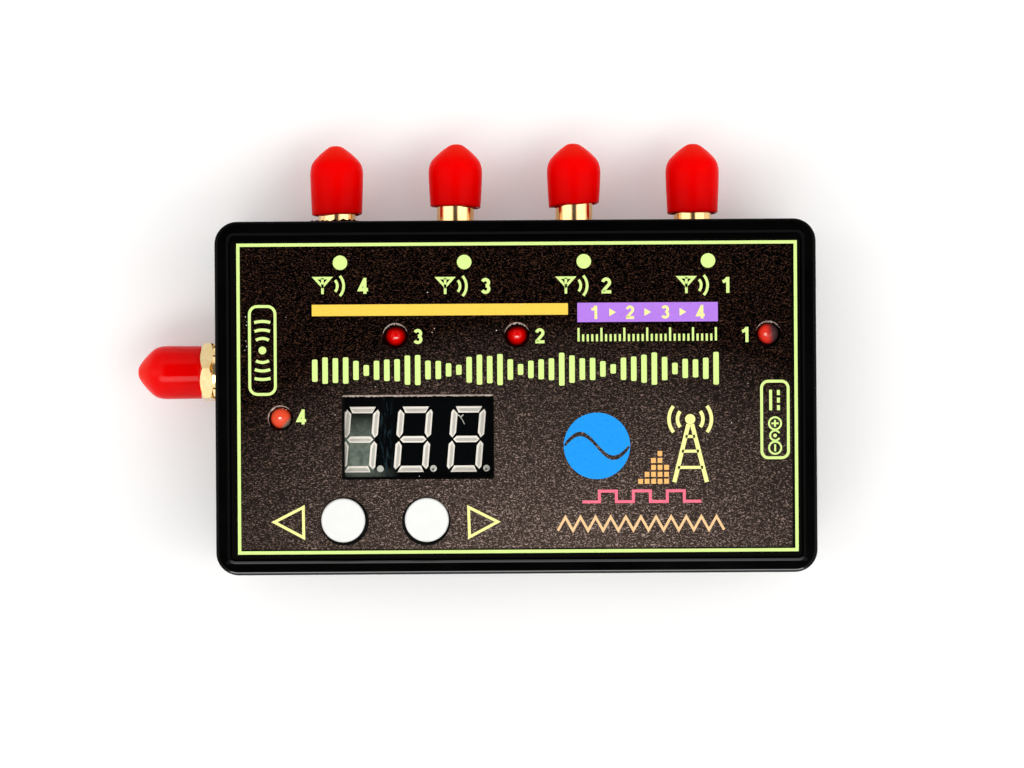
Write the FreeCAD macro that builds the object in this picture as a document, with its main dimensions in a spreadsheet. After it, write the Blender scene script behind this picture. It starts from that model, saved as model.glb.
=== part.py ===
"""Coaxial antenna switch: a small plastic box with five gold coaxial jacks under dust caps.

Frame: X along the case, +Y towards the four antenna jacks, +Z up, with the origin at the
centre of the case's underside. All lengths are in millimetres.
"""
import FreeCAD, Part
import math
import os

import Sketcher

Vector = FreeCAD.Vector
X_AXIS = Vector(1, 0, 0)
Y_AXIS = Vector(0, 1, 0)
Z_AXIS = Vector(0, 0, 1)

# name, value in millimetres (degrees or a count where the note says so), what it sets
DRIVING_SIZES = [
    ("case_length", 85.0, "outside of the case along X"),
    ("case_width", 50.0, "outside of the case along Y"),
    ("case_height", 21.0, "underside to the top of the rim"),
    ("case_corner", 3.2, "outside radius of the four upright corners"),
    ("case_wall", 2.0, "side wall of both shells"),
    ("case_floor", 2.0, "floor of the bottom shell"),
    ("top_edge_round", 0.45, "fillet round the top of the rim"),
    ("bottom_edge_round", 0.6, "fillet round the underside"),
    ("seam_chamfer", 0.2, "small chamfer on both sides of the seam"),
    ("rim_width", 2.15, "outside of the case to the foot of the label recess"),
    ("rim_slope", 0.5, "chamfer from the rim down into the recess"),
    ("recess_depth", 0.55, "rim to the recess floor"),
    ("recess_corner", 0.6, "corner radius of the recess"),
    ("panel_thickness", 1.6, "panel under the label"),
    ("tongue_height", 1.0, "tongue of the bottom shell above the seam"),
    ("tongue_thickness", 0.9, "tongue, measured across the wall"),
    ("shell_clearance", 0.1, "between the tongue and its rebate, and between columns and bosses"),
    ("screw_inset", 4.0, "side of the case to a case screw, both ways"),
    ("column_diameter", 7.0, "screw columns below and screw bosses above"),
    ("case_screw_core", 2.4, "thread core of a case screw"),
    ("case_screw_head", 5.0, "head of a case screw"),
    ("case_screw_head_height", 1.8, "height of that head"),
    ("case_screw_length", 12.0, "case screw below its head"),
    ("case_screw_seat", 3.0, "underside of the case to the face under the head"),
    ("case_screw_slack", 0.3, "hole in the bottom shell beyond the screw, on the radius"),
    ("thread_clearance", 0.05, "pilot hole beyond the screw core, on the radius"),
    ("jack_height", 8.0, "axis of the jacks, and the seam of the case"),
    ("jack_pitch", 17.33, "between neighbouring antenna jacks"),
    ("radio_jack_place", 3.8, "radio jack along Y"),
    ("jack_thread", 6.35, "outside of a jack's thread"),
    ("jack_neck", 5.45, "smooth neck behind the thread"),
    ("antenna_neck", 5.4, "flange to the start of the thread of an antenna jack"),
    ("radio_neck", 0.8, "flange to the start of the thread of the radio jack"),
    ("antenna_barrel", 9.8, "flange to the mouth of an antenna jack"),
    ("radio_barrel", 11.0, "flange to the mouth of the radio jack"),
    ("jack_bore", 4.6, "open bore at the mouth"),
    ("jack_bore_depth", 1.9, "mouth to the face of the insulator"),
    ("jack_mouth_chamfer", 0.35, "chamfer round the mouth"),
    ("insulator_diameter", 4.1, "insulator in the barrel"),
    ("contact_diameter", 1.27, "centre contact"),
    ("contact_bore", 0.9, "socket in the centre contact"),
    ("contact_bore_depth", 3.0, "depth of that socket"),
    ("contact_tail", 3.6, "tail of the contact over the board"),
    ("contact_tail_diameter", 1.0, "thickness of that tail"),
    ("jack_flange", 6.35, "square flange inside the wall"),
    ("jack_flange_thickness", 1.6, "thickness of that flange"),
    ("jack_leg", 1.0, "square legs that grip the board"),
    ("jack_leg_length", 4.6, "length of those legs"),
    ("wall_hole_clearance", 0.15, "hole in the wall beyond the jack's thread, on the radius"),
    ("seat_gap", 0.1, "between the wall and a flange behind it"),
    ("nut_across", 8.0, "hex nut across its flats"),
    ("nut_thickness", 1.85, "hex nut"),
    ("nut_turn", 23.0, "degrees by which the nut's top flat leans towards -Y"),
    ("nut_chamfer", 0.35, "corner chamfer of the nut, along the axis"),
    ("nut_bore_clearance", 0.02, "nut and washers beyond the thread, on the radius"),
    ("flat_washer", 9.4, "outside of the flat washer"),
    ("flat_washer_thickness", 0.6, "flat washer"),
    ("lock_washer", 8.6, "outside of the lock washer"),
    ("lock_washer_thickness", 0.8, "lock washer"),
    ("lock_washer_notch", 0.8, "width of the notches between its teeth"),
    ("lock_washer_teeth", 12, "number of its teeth"),
    ("cap_bore", 6.5, "inside of a dust cap"),
    ("cap_body", 7.88, "widest outside of a dust cap"),
    ("cap_mouth", 7.36, "outside of an antenna jack's dust cap at its mouth"),
    ("radio_cap_mouth", 7.76, "outside of the radio jack's dust cap at its mouth"),
    ("cap_nose", 3.1, "outside where the round nose meets the cone"),
    ("cap_nose_height", 0.66, "tip to that place"),
    ("cap_cone", 5.96, "outside where the cone meets the shoulder"),
    ("cap_cone_height", 1.83, "tip to that place"),
    ("cap_body_start", 4.1, "tip to the widest place"),
    ("cap_shoulder_radius", 2.9, "profile radius of the shoulder"),
    ("cap_side_radius", 60.0, "profile radius of the slightly bellied side"),
    ("cap_skin", 0.65, "vinyl skin of a dust cap at its end"),
    ("cap_lip", 0.12, "bevel round the mouth"),
    ("outer_cap_gap", 1.85, "wall to the mouth of the caps on antenna jacks 1 and 4"),
    ("inner_cap_gap", 2.9, "wall to the mouth of the caps on antenna jacks 2 and 3"),
    ("radio_cap_gap", 3.5, "wall to the mouth of the cap on the radio jack"),
    ("outer_cap_length", 9.95, "caps on antenna jacks 1 and 4"),
    ("inner_cap_length", 9.05, "caps on antenna jacks 2 and 3"),
    ("radio_cap_length", 9.2, "cap on the radio jack"),
    ("label_thickness", 0.25, "faceplate label"),
    ("label_corner", 0.5, "corner radius of the label"),
    ("label_side_clearance", 0.1, "label to the recess foot along X"),
    ("label_end_clearance", 0.4, "label to the recess foot along Y, on average"),
    ("label_shift", 0.25, "how far the label lies towards -Y"),
    ("window_length", 20.8, "display window along X"),
    ("window_width", 11.25, "display window along Y"),
    ("window_place", 13.9, "window centre, towards -X"),
    ("window_drop", 5.6, "window centre, towards -Y"),
    ("window_corner", 0.4, "corner radius of the window"),
    ("window_bevel", 0.35, "bevel round the window"),
    ("button_hole", 6.8, "hole round a button"),
    ("left_button_place", 24.5, "left button, towards -X"),
    ("right_button_place", 12.7, "right button, towards -X"),
    ("button_drop", 17.3, "both buttons, towards -Y"),
    ("lamp_hole", 3.6, "hole round a lamp"),
    ("lamp_row", 8.75, "lamps 1 to 3 along Y"),
    ("lamp_one_place", 35.7, "lamp 1 along X"),
    ("lamp_two_place", 0.2, "lamp 2 along X"),
    ("lamp_three_place", 17.0, "lamp 3, towards -X"),
    ("lamp_four_place", 33.3, "lamp 4, towards -X"),
    ("lamp_four_drop", 2.8, "lamp 4, towards -Y"),
    ("lamp_diameter", 3.0, "lamp lens"),
    ("lamp_length", 5.3, "lamp from its base to its tip"),
    ("lamp_flange", 3.9, "flange round a lamp's base"),
    ("lamp_flange_height", 1.0, "height of that flange"),
    ("lamp_flat", 0.25, "flat cut on that flange"),
    ("lamp_proud", 0.35, "tips of lamps 1 and 4 above the label"),
    ("lamp_sunk", 0.55, "tips of lamps 2 and 3 below the label"),
    ("lamp_lean", 3.0, "degrees by which lamp 1 leans"),
    ("lamp_lead", 0.5, "square lamp lead"),
    ("lamp_lead_pitch", 2.54, "between a lamp's two leads"),
    ("lead_stub", 1.2, "leads below the board"),
    ("lead_hole", 1.0, "holes for the lamp leads"),
    ("board_thickness", 1.6, "circuit board"),
    ("board_drop", 0.6, "jack axis down to the top of the board"),
    ("board_edge_gap", 0.5, "board to the south and east walls"),
    ("board_corner", 1.0, "corner radius of the board"),
    ("notch_clearance", 0.5, "board to the screw columns"),
    ("post_diameter", 5.0, "posts that carry the board"),
    ("post_place", 33.5, "posts along X, both ways"),
    ("north_post_place", 15.8, "posts towards +Y"),
    ("south_post_place", 18.6, "posts towards -Y"),
    ("board_screw_core", 1.8, "thread core of a board screw"),
    ("board_screw_head", 3.8, "head of a board screw"),
    ("board_screw_head_height", 1.3, "height of that head"),
    ("board_screw_length", 4.8, "board screw below its head"),
    ("board_screw_slack", 0.2, "hole in the board beyond the screw, on the radius"),
    ("pilot_depth", 3.5, "pilot holes in the posts"),
    ("display_length", 22.5, "display module along X"),
    ("display_width", 14.0, "display module along Y"),
    ("display_height", 7.2, "display module"),
    ("display_place", 14.1, "display centre, towards -X"),
    ("display_drop", 5.95, "display centre, towards -Y"),
    ("display_gap", 0.1, "display face below the panel"),
    ("digit_height", 9.33, "height of a digit"),
    ("digit_width", 4.93, "width of a digit, before its slant"),
    ("digit_pitch", 7.55, "between digits"),
    ("digit_count", 3, "number of digits"),
    ("digit_shift", 0.53, "digits off the middle of the display, towards -X"),
    ("digit_bar", 0.92, "thickness of a bar"),
    ("digit_corner", 0.58, "outside corner of a digit to the ends of its level bars"),
    ("digit_bar_gap", 0.22, "between the ends of two bars"),
    ("digit_slant", 0.088, "sideways shift per height of a digit"),
    ("digit_depth", 0.3, "depth of the bars in the face"),
    ("point_diameter", 1.0, "decimal point"),
    ("point_place", 3.26, "decimal point from the middle of its digit"),
    ("display_pin", 0.5, "square display pin"),
    ("display_pin_rows", 10.16, "between the two pin rows"),
    ("display_pin_pitch", 2.54, "between pins of a row"),
    ("display_pin_gap", 0.75, "end of a pin to the board"),
    ("pins_in_row", 6, "number of pins in a row"),
    ("socket_width", 2.5, "socket strip along Y"),
    ("socket_hole", 0.7, "square holes of the socket strips"),
    ("switch_side", 6.0, "switch housing, both ways"),
    ("switch_corner", 0.5, "corner chamfer of the housing"),
    ("switch_housing_height", 3.2, "switch housing without its cover plate"),
    ("switch_plate", 0.3, "cover plate of a switch"),
    ("switch_total", 13.0, "board to the end of the plunger"),
    ("switch_well", 4.8, "well for the dome"),
    ("switch_well_floor", 1.0, "plastic below the well"),
    ("switch_stem", 3.5, "plunger stem"),
    ("switch_stem_clearance", 0.08, "cover plate hole beyond the stem, on the radius"),
    ("switch_foot", 4.4, "flange at the foot of the plunger"),
    ("switch_foot_gap", 0.05, "plunger flange to the plate above and the dome below"),
    ("dome_diameter", 4.4, "snap dome"),
    ("dome_height", 0.55, "height of the dome"),
    ("dome_thickness", 0.12, "metal of the dome"),
    ("terminal_width", 0.7, "switch terminals"),
    ("terminal_reach", 1.1, "terminals beyond the housing"),
    ("terminal_thickness", 0.25, "metal of the terminals"),
    ("terminal_pitch", 4.5, "between the two terminals of a side"),
    ("button_cap", 6.2, "outside of a button cap"),
    ("button_top", 21.2, "underside of the case to the top of the buttons"),
    ("button_flange", 7.6, "flange that keeps a cap in the case"),
    ("button_flange_height", 0.8, "height of that flange"),
    ("button_flange_gap", 0.25, "flange to the panel above it"),
    ("button_skirt", 1.8, "cap below its flange"),
    ("button_edge", 0.3, "fillet round the top of a cap"),
    ("inlet_place", 3.4, "direct current inlet, towards -Y"),
    ("inlet_top_gap", 0.45, "top of the inlet to the panel above it"),
    ("inlet_width", 9.0, "inlet along Y"),
    ("inlet_length", 14.2, "whole inlet along X"),
    ("inlet_front", 3.5, "front block along X"),
    ("inlet_barrel", 8.4, "round back of the inlet"),
    ("inlet_bore", 6.4, "plug hole"),
    ("inlet_bore_depth", 9.5, "depth of the plug hole"),
    ("inlet_pin", 2.0, "centre pin"),
    ("inlet_pin_recess", 2.4, "mouth to the tip of the pin"),
    ("inlet_wall_hole", 9.2, "hole in the case wall in front of the inlet"),
    ("inlet_tab_width", 2.4, "solder tabs of the inlet"),
    ("inlet_tab", 0.7, "thickness of a tab"),
    ("inlet_tab_drop", 3.0, "tabs below the inlet"),
    ("inlet_tab_clearance", 0.25, "slots beyond the tabs"),
    ("inlet_rear_tab", 0.9, "rear tab from the back of the inlet"),
    ("inlet_middle_tab", 6.2, "middle tab from the back of the inlet"),
    ("chip_length", 12.8, "microcontroller along X"),
    ("chip_width", 7.5, "microcontroller along Y"),
    ("chip_height", 2.3, "microcontroller body"),
    ("chip_lift", 0.15, "bodies of the leaded chips above the board"),
    ("chip_place", 11.5, "microcontroller along X"),
    ("chip_drop", 7.5, "microcontroller, towards -Y"),
    ("chip_lead_width", 0.42, "microcontroller leads"),
    ("chip_lead_pitch", 1.27, "between those leads"),
    ("chip_lead_reach", 1.4, "leads beyond the body"),
    ("chip_lead_foot", 0.85, "flat foot of a lead"),
    ("chip_lead_rise", 1.1, "height where a lead leaves the body"),
    ("chip_lead_metal", 0.25, "thickness of a lead"),
    ("chip_leads_in_row", 10, "number of leads on a side"),
    ("rf_chip_side", 4.0, "radio-frequency switch chip, both ways"),
    ("rf_chip_height", 0.9, "radio-frequency switch chip"),
    ("rf_chip_place", 13.4, "that chip along Y"),
    ("regulator_length", 6.5, "voltage regulator along X"),
    ("regulator_width", 3.5, "voltage regulator along Y"),
    ("regulator_height", 1.6, "voltage regulator"),
    ("regulator_tab", 1.7, "tab beyond the body of the regulator"),
    ("regulator_place", 20.8, "regulator along X"),
    ("regulator_inset", 5.9, "south edge of the board to the regulator"),
    ("supply_capacitor_diameter", 6.3, "supply capacitor"),
    ("supply_capacitor_height", 7.7, "supply capacitor"),
    ("supply_capacitor_place", 29.6, "supply capacitor along X"),
    ("supply_capacitor_drop", 12.2, "supply capacitor, towards -Y"),
    ("output_capacitor_diameter", 5.0, "output capacitor"),
    ("output_capacitor_height", 5.4, "output capacitor"),
    ("output_capacitor_place", 20.5, "output capacitor along X"),
    ("output_capacitor_rise", 7.6, "output capacitor along Y"),
    ("capacitor_foot", 0.9, "square plastic foot of both"),
    ("capacitor_crimp", 0.3, "depth of the groove round a can"),
    ("diode_length", 4.3, "protection diode along X"),
    ("diode_width", 2.6, "protection diode along Y"),
    ("diode_height", 2.2, "protection diode"),
    ("diode_place", 21.8, "diode along X"),
    ("diode_drop", 8.6, "diode, towards -Y"),
    ("crystal_length", 11.2, "crystal can along X"),
    ("crystal_width", 4.6, "crystal can along Y"),
    ("crystal_height", 3.4, "crystal can"),
    ("crystal_place", 10.5, "crystal along X"),
    ("crystal_rise", 2.6, "crystal along Y"),
    ("transistor_length", 2.9, "digit transistors along X"),
    ("transistor_width", 1.4, "digit transistors along Y"),
    ("transistor_height", 1.1, "digit transistors"),
    ("transistor_pitch", 4.2, "between them"),
    ("transistor_place", 2.0, "first of them along X"),
    ("transistor_count", 3, "number of digit transistors"),
    ("resistor_length", 2.0, "chip resistor"),
    ("resistor_width", 1.25, "chip resistor"),
    ("resistor_height", 0.55, "chip resistor"),
    ("resistor_pitch", 2.4, "between chip resistors"),
    ("resistor_place", 4.5, "first chip resistor, towards -X"),
    ("resistor_inset", 2.7, "south edge of the board to the chip resistors"),
    ("resistor_count", 9, "number of chip resistors"),
    ("ceramic_length", 2.0, "chip capacitor"),
    ("ceramic_width", 1.25, "chip capacitor"),
    ("ceramic_height", 1.2, "chip capacitor"),
    ("ceramic_rise", 12.2, "chip capacitors along Y"),
    ("ceramic_offset", 4.0, "chip capacitors from the axis of their jack"),
]

doc = FreeCAD.newDocument("antenna_switch")
sheet = doc.addObject("Spreadsheet::Sheet", "sizes")
sub_parts = []


def fill_sheet():
    for row, (name, value, note) in enumerate(DRIVING_SIZES, start=1):
        sheet.set("A%d" % row, note)
        sheet.set("B%d" % row, str(value))
        sheet.setAlias("B%d" % row, name)
    doc.recompute()


class Size:
    """A length that knows its value now and the sheet expression that it follows."""

    def __init__(self, value, text):
        self.value = float(value)
        self.text = text

    def __add__(self, other):
        other = as_size(other)
        return Size(self.value + other.value, "(%s + %s)" % (self.text, other.text))

    def __sub__(self, other):
        other = as_size(other)
        return Size(self.value - other.value, "(%s - %s)" % (self.text, other.text))

    def __mul__(self, other):
        other = as_size(other)
        return Size(self.value * other.value, "(%s * %s)" % (self.text, other.text))

    def __truediv__(self, other):
        other = as_size(other)
        return Size(self.value / other.value, "(%s / %s)" % (self.text, other.text))

    def __neg__(self):
        return Size(-self.value, "(-1 * %s)" % self.text)

    def __radd__(self, other):
        return as_size(other) + self

    def __rsub__(self, other):
        return as_size(other) - self

    def __rmul__(self, other):
        return as_size(other) * self


def as_size(item):
    if isinstance(item, Size):
        return item
    return Size(item, "(%s)" % float(item))


class SheetSizes:
    """Gives each sheet cell as a Size under its own name."""

    def __getattr__(self, name):
        return Size(sheet.get(name), "sizes." + name)


size = SheetSizes()


# ---- features ----------------------------------------------------------------------------

def bind(item, path, length):
    """Tie one property of a document object to the sheet."""
    item.setExpression(path, as_size(length).text)


def new_body(name, x=0, y=0, z=0, rotation=None):
    body = doc.addObject("PartDesign::Body", name)
    body.Label = name
    body.AllowCompound = True
    if rotation:
        body.Placement = FreeCAD.Placement(Vector(0, 0, 0), rotation)
    for axis, length in (("x", x), ("y", y), ("z", z)):
        bind(body, "Placement.Base." + axis, length)
    sub_parts.append(body)
    return body


def new_sketch(body, role="XY_Plane", offset=0):
    """A sketch on an origin plane of the body, moved along the plane's normal."""
    sketch = body.newObject("Sketcher::SketchObject", body.Name + "_sketch")
    plane = [item for item in body.Origin.OriginFeatures if item.Role == role][0]
    sketch.AttachmentSupport = [(plane, "")]
    sketch.MapMode = "FlatFace"
    bind(sketch, "AttachmentOffset.Base.z", offset)
    return sketch


def dimension(sketch, rows):
    """Add dimensions, each a kind, what it holds and its length, and bind every length."""
    lengths = [as_size(row[-1]) for row in rows]
    added = sketch.addConstraint([
        Sketcher.Constraint(*row[:-1], length.value) for row, length in zip(rows, lengths)])
    for index, length in zip(added, lengths):
        bind(sketch, "Constraints[%d]" % index, length)


def point_rows(geometry, point, x, y):
    return [("DistanceX", -1, 1, geometry, point, x), ("DistanceY", -1, 1, geometry, point, y)]


def draw_circle(sketch, x, y, diameter):
    x, y, diameter = as_size(x), as_size(y), as_size(diameter)
    centre = Vector(x.value, y.value, 0)
    index = sketch.addGeometry(Part.Circle(centre, Z_AXIS, diameter.value / 2))
    dimension(sketch, point_rows(index, 3, x, y) + [("Diameter", index, diameter)])


def arc_between(start, end, radius, turn):
    """The short arc from start to end, bending left for turn 1 and right for turn -1."""
    chord = end - start
    side = Vector(-chord.y, chord.x, 0) * (turn / chord.Length)
    reach = math.sqrt(max(radius ** 2 - (chord.Length / 2) ** 2, 0))
    centre = (start + end) * 0.5 + side * reach
    first, last = (start, end) if turn > 0 else (end, start)
    angles = [math.atan2(point.y - centre.y, point.x - centre.x) for point in (first, last)]
    return Part.ArcOfCircle(Part.Circle(centre, Z_AXIS, radius), angles[0], angles[1])


def draw_outline(sketch, steps):
    """A closed outline. A step is (x, y) for a straight run to that point, or
    (x, y, radius, turn) for an arc to it."""
    steps = [tuple(as_size(item) for item in step[:3]) + step[3:] for step in steps]
    corners = [Vector(step[0].value, step[1].value, 0) for step in steps]
    curves = []
    for number, step in enumerate(steps):
        start, end = corners[number - 1], corners[number]
        if len(step) == 2:
            curves.append(Part.LineSegment(start, end))
        else:
            curves.append(arc_between(start, end, step[2].value, step[3]))
    indices = sketch.addGeometry(curves)
    joints, rows = [], []
    for number, step in enumerate(steps):
        following = (number + 1) % len(steps)
        last = 1 if step[3:] == (-1,) else 2
        first = 2 if steps[following][3:] == (-1,) else 1
        joints.append(Sketcher.Constraint("Coincident", indices[number], last, indices[following], first))
        rows += point_rows(indices[number], last, step[0], step[1])
        if len(step) > 2:
            rows.append(("Radius", indices[number], step[2]))
    sketch.addConstraint(joints)
    dimension(sketch, rows)


def draw_rectangle(sketch, x, y, length, width):
    west, east = x - length / 2, x + length / 2
    south, north = y - width / 2, y + width / 2
    draw_outline(sketch, [(east, south), (east, north), (west, north), (west, south)])


def draw_rounded(sketch, x, y, length, width, radius):
    west, east = x - length / 2, x + length / 2
    south, north = y - width / 2, y + width / 2
    draw_outline(sketch, [
        (east - radius, south), (east, south + radius, radius, 1),
        (east, north - radius), (east - radius, north, radius, 1),
        (west + radius, north), (west, north - radius, radius, 1),
        (west, south + radius), (west + radius, south, radius, 1)])


def extrude(body, kind, sketch, length, backwards=False):
    feature = body.newObject(kind, body.Name + "_step")
    feature.Profile = sketch
    feature.Reversed = backwards
    bind(feature, "Length", length)
    doc.recompute()
    return feature


def pad(body, sketch, length, backwards=False):
    """Add material along the sketch's normal."""
    return extrude(body, "PartDesign::Pad", sketch, length, backwards)


def pocket(body, sketch, length, backwards=False):
    """Cut against the sketch's normal, and make sure that something was cut."""
    before = body.Shape.Volume
    feature = extrude(body, "PartDesign::Pocket", sketch, length, backwards)
    if body.Shape.Volume >= before:
        raise ValueError("a pocket of %s cuts nothing" % body.Label)
    return feature


def revolve(body, sketch):
    """Turn a profile about the sketch's upright axis."""
    feature = body.newObject("PartDesign::Revolution", body.Name + "_turned")
    feature.Profile = sketch
    feature.ReferenceAxis = (sketch, ["V_Axis"])
    feature.Angle = 360
    doc.recompute()
    return feature


def hold_solids(name, solids):
    """A plain feature for solids that each have a placement of their own."""
    feature = doc.addObject("Part::Feature", name)
    feature.Label = name
    feature.Shape = Part.makeCompound(solids)
    feature.Placement = FreeCAD.Placement()
    sub_parts.append(feature)


def edges_within(body, low, high):
    """Names of the body's edges that lie inside a box in the body's own frame."""
    box = FreeCAD.BoundBox(low[0], low[1], low[2], high[0], high[1], high[2])
    names = []
    for number, edge in enumerate(body.Tip.Shape.Edges, start=1):
        bounds = edge.BoundBox
        if box.isInside(bounds):
            names.append("Edge%d" % number)
    return names


def break_edges(body, kind, low, high, amount):
    names = edges_within(body, low, high)
    base = body.Tip
    feature = body.newObject(kind, body.Name + "_edges")
    feature.Base = (base, names)
    bind(feature, "Radius" if kind == "PartDesign::Fillet" else "Size", amount)
    doc.recompute()
    return feature


def fillet(body, low, high, radius):
    return break_edges(body, "PartDesign::Fillet", low, high, radius)


def chamfer(body, low, high, amount):
    return break_edges(body, "PartDesign::Chamfer", low, high, amount)


def slab(height, reach=1000.0, thickness=0.01):
    """A thin level box for picking every edge at one height."""
    height = as_size(height).value
    return (-reach, -reach, height - thickness), (reach, reach, height + thickness)


def pattern(body, feature, axis, step, count):
    """Repeat a feature along one axis of the body."""
    line = [item for item in body.Origin.OriginFeatures if item.Role == axis][0]
    repeat = body.newObject("PartDesign::LinearPattern", body.Name + "_row")
    repeat.Originals = [feature]
    repeat.Direction = (line, [""])
    bind(repeat, "Length", step * (count - 1))
    bind(repeat, "Occurrences", count)
    body.Tip = repeat
    doc.recompute()
    return repeat


def four_spots(x, y):
    return [(x * east, y * north) for east in (-1, 1) for north in (-1, 1)]


# ---- places that several sub-parts share --------------------------------------------------

def panel_top():
    return size.case_height - size.recess_depth


def panel_bottom():
    return panel_top() - size.panel_thickness


def label_top():
    return panel_top() + size.label_thickness


def board_top():
    return size.jack_height - size.board_drop


def board_bottom():
    return board_top() - size.board_thickness


def flange_back(half):
    """The inner face of a jack's flange, from the middle of the case."""
    return half - size.case_wall - size.seat_gap - size.jack_flange_thickness


def case_screw_spots():
    half_length = size.case_length / 2 - size.screw_inset
    half_width = size.case_width / 2 - size.screw_inset
    return four_spots(half_length, half_width)


def post_spots():
    return [(size.post_place * east, place) for east in (-1, 1)
            for place in (size.north_post_place, -size.south_post_place)]


def jack_places():
    """Antenna jacks 1 to 4 along X; jack 1 lies furthest towards +X."""
    return [size.jack_pitch * step for step in (1.5, 0.5, -0.5, -1.5)]


def lamp_places():
    """Lamps 1 to 4: x, y, height of the tip, lean in degrees."""
    proud = label_top() + size.lamp_proud
    sunk = label_top() - size.lamp_sunk
    return [(size.lamp_one_place, size.lamp_row, proud, size.lamp_lean),
            (size.lamp_two_place, size.lamp_row, sunk, as_size(0)),
            (-size.lamp_three_place, size.lamp_row, sunk, as_size(0)),
            (-size.lamp_four_place, -size.lamp_four_drop, proud, as_size(0))]


def button_places():
    return [("left", -size.left_button_place, -size.button_drop),
            ("right", -size.right_button_place, -size.button_drop)]


def sine(degrees):
    return Size(math.sin(math.radians(degrees.value)), "sin(%s)" % degrees.text)


def cosine(degrees):
    return Size(math.cos(math.radians(degrees.value)), "cos(%s)" % degrees.text)


def lean_offset(lean, rise):
    """How far a leaning line moves sideways over a rise."""
    return rise * sine(lean) / cosine(lean)


# ---- case ---------------------------------------------------------------------------------

def outer_outline(sketch):
    draw_rounded(sketch, 0, 0, size.case_length, size.case_width, size.case_corner)


def inset_outline(sketch, inset):
    draw_rounded(sketch, 0, 0, size.case_length - 2 * inset, size.case_width - 2 * inset,
                 size.case_corner - inset)


def cut_jack_holes(body):
    """Holes for the five jacks, half in each shell, through the north and west walls."""
    diameter = size.jack_thread + 2 * size.wall_hole_clearance
    north = new_sketch(body, "XZ_Plane", -(size.case_width / 2 - 1.5 * size.case_wall))
    for place in jack_places():
        draw_circle(north, place, size.jack_height, diameter)
    pocket(body, north, 2 * size.case_wall)
    west = new_sketch(body, "YZ_Plane", -(size.case_length / 2 - 1.5 * size.case_wall))
    draw_circle(west, size.radio_jack_place, size.jack_height, diameter)
    pocket(body, west, 2 * size.case_wall)


def make_bottom_shell():
    """Floor, low walls up to the jack axis, tongue, screw columns and board posts."""
    body = new_body("bottom_shell")
    outline = new_sketch(body)
    outer_outline(outline)
    pad(body, outline, size.jack_height)
    fillet(body, *slab(0), size.bottom_edge_round)
    chamfer(body, *slab(size.jack_height), size.seam_chamfer)
    inside = new_sketch(body, offset=size.jack_height)
    inset_outline(inside, size.case_wall)
    pocket(body, inside, size.jack_height - size.case_floor)
    columns = new_sketch(body, offset=size.case_floor)
    for x, y in case_screw_spots():
        draw_circle(columns, x, y, size.column_diameter)
    pad(body, columns, size.jack_height - size.case_floor)
    posts = new_sketch(body, offset=size.case_floor)
    for x, y in post_spots():
        draw_circle(posts, x, y, size.post_diameter)
    pad(body, posts, board_bottom() - size.case_floor)
    tongue = new_sketch(body, offset=size.jack_height)
    inset_outline(tongue, size.case_wall - size.tongue_thickness)
    inset_outline(tongue, size.case_wall)
    pad(body, tongue, size.tongue_height)
    cut_jack_holes(body)
    shafts = new_sketch(body, offset=size.jack_height + size.tongue_height)
    heads = new_sketch(body, offset=size.case_screw_seat)
    for x, y in case_screw_spots():
        draw_circle(shafts, x, y, size.case_screw_core + 2 * size.case_screw_slack)
        draw_circle(heads, x, y, size.case_screw_head + 2 * size.case_screw_slack)
    pocket(body, shafts, size.jack_height + size.tongue_height)
    pocket(body, heads, size.case_screw_seat)
    pilots = new_sketch(body, offset=board_bottom())
    for x, y in post_spots():
        draw_circle(pilots, x, y, size.board_screw_core + 2 * size.thread_clearance)
    pocket(body, pilots, size.pilot_depth)


def make_top_cover():
    """Deep upper shell: rim, label recess, window, holes, rebate, bosses and wall holes."""
    body = new_body("top_cover")
    outline = new_sketch(body, offset=size.jack_height)
    outer_outline(outline)
    pad(body, outline, size.case_height - size.jack_height)
    chamfer(body, *slab(size.jack_height), size.seam_chamfer)
    fillet(body, *slab(size.case_height), size.top_edge_round)
    recess = new_sketch(body, offset=size.case_height)
    recess_length = size.case_length - 2 * size.rim_width
    recess_width = size.case_width - 2 * size.rim_width
    draw_rounded(recess, 0, 0, recess_length, recess_width, size.recess_corner)
    pocket(body, recess, size.recess_depth)
    low, high = slab(size.case_height)
    half_length, half_width = recess_length.value / 2 + 0.01, recess_width.value / 2 + 0.01
    chamfer(body, (-half_length, -half_width, low[2]), (half_length, half_width, high[2]),
            size.rim_slope)
    inside = new_sketch(body, offset=panel_bottom())
    inset_outline(inside, size.case_wall)
    pocket(body, inside, panel_bottom() - size.jack_height)
    bosses = new_sketch(body, offset=size.jack_height + size.shell_clearance)
    for x, y in case_screw_spots():
        draw_circle(bosses, x, y, size.column_diameter)
    pad(body, bosses, panel_bottom() - size.jack_height)
    rebate = new_sketch(body, offset=size.jack_height + size.tongue_height + size.shell_clearance)
    inset_outline(rebate, size.case_wall - size.tongue_thickness - size.shell_clearance)
    inset_outline(rebate, size.case_wall + size.shell_clearance)
    pocket(body, rebate, size.tongue_height + 2 * size.shell_clearance)
    cut_jack_holes(body)
    cut_inlet_hole(body)
    cut_panel_openings(body)
    pilots = new_sketch(body, offset=size.case_screw_seat + size.case_screw_length + 1)
    for x, y in case_screw_spots():
        draw_circle(pilots, x, y, size.case_screw_core + 2 * size.thread_clearance)
    pocket(body, pilots, size.case_screw_seat + size.case_screw_length + 1 - size.jack_height)


def cut_inlet_hole(body):
    """Round hole in the east wall in front of the direct current inlet."""
    east = new_sketch(body, "YZ_Plane", size.case_length / 2 + size.case_wall / 2)
    draw_circle(east, -size.inlet_place, inlet_axis_height(), size.inlet_wall_hole)
    pocket(body, east, 2 * size.case_wall)


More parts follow.
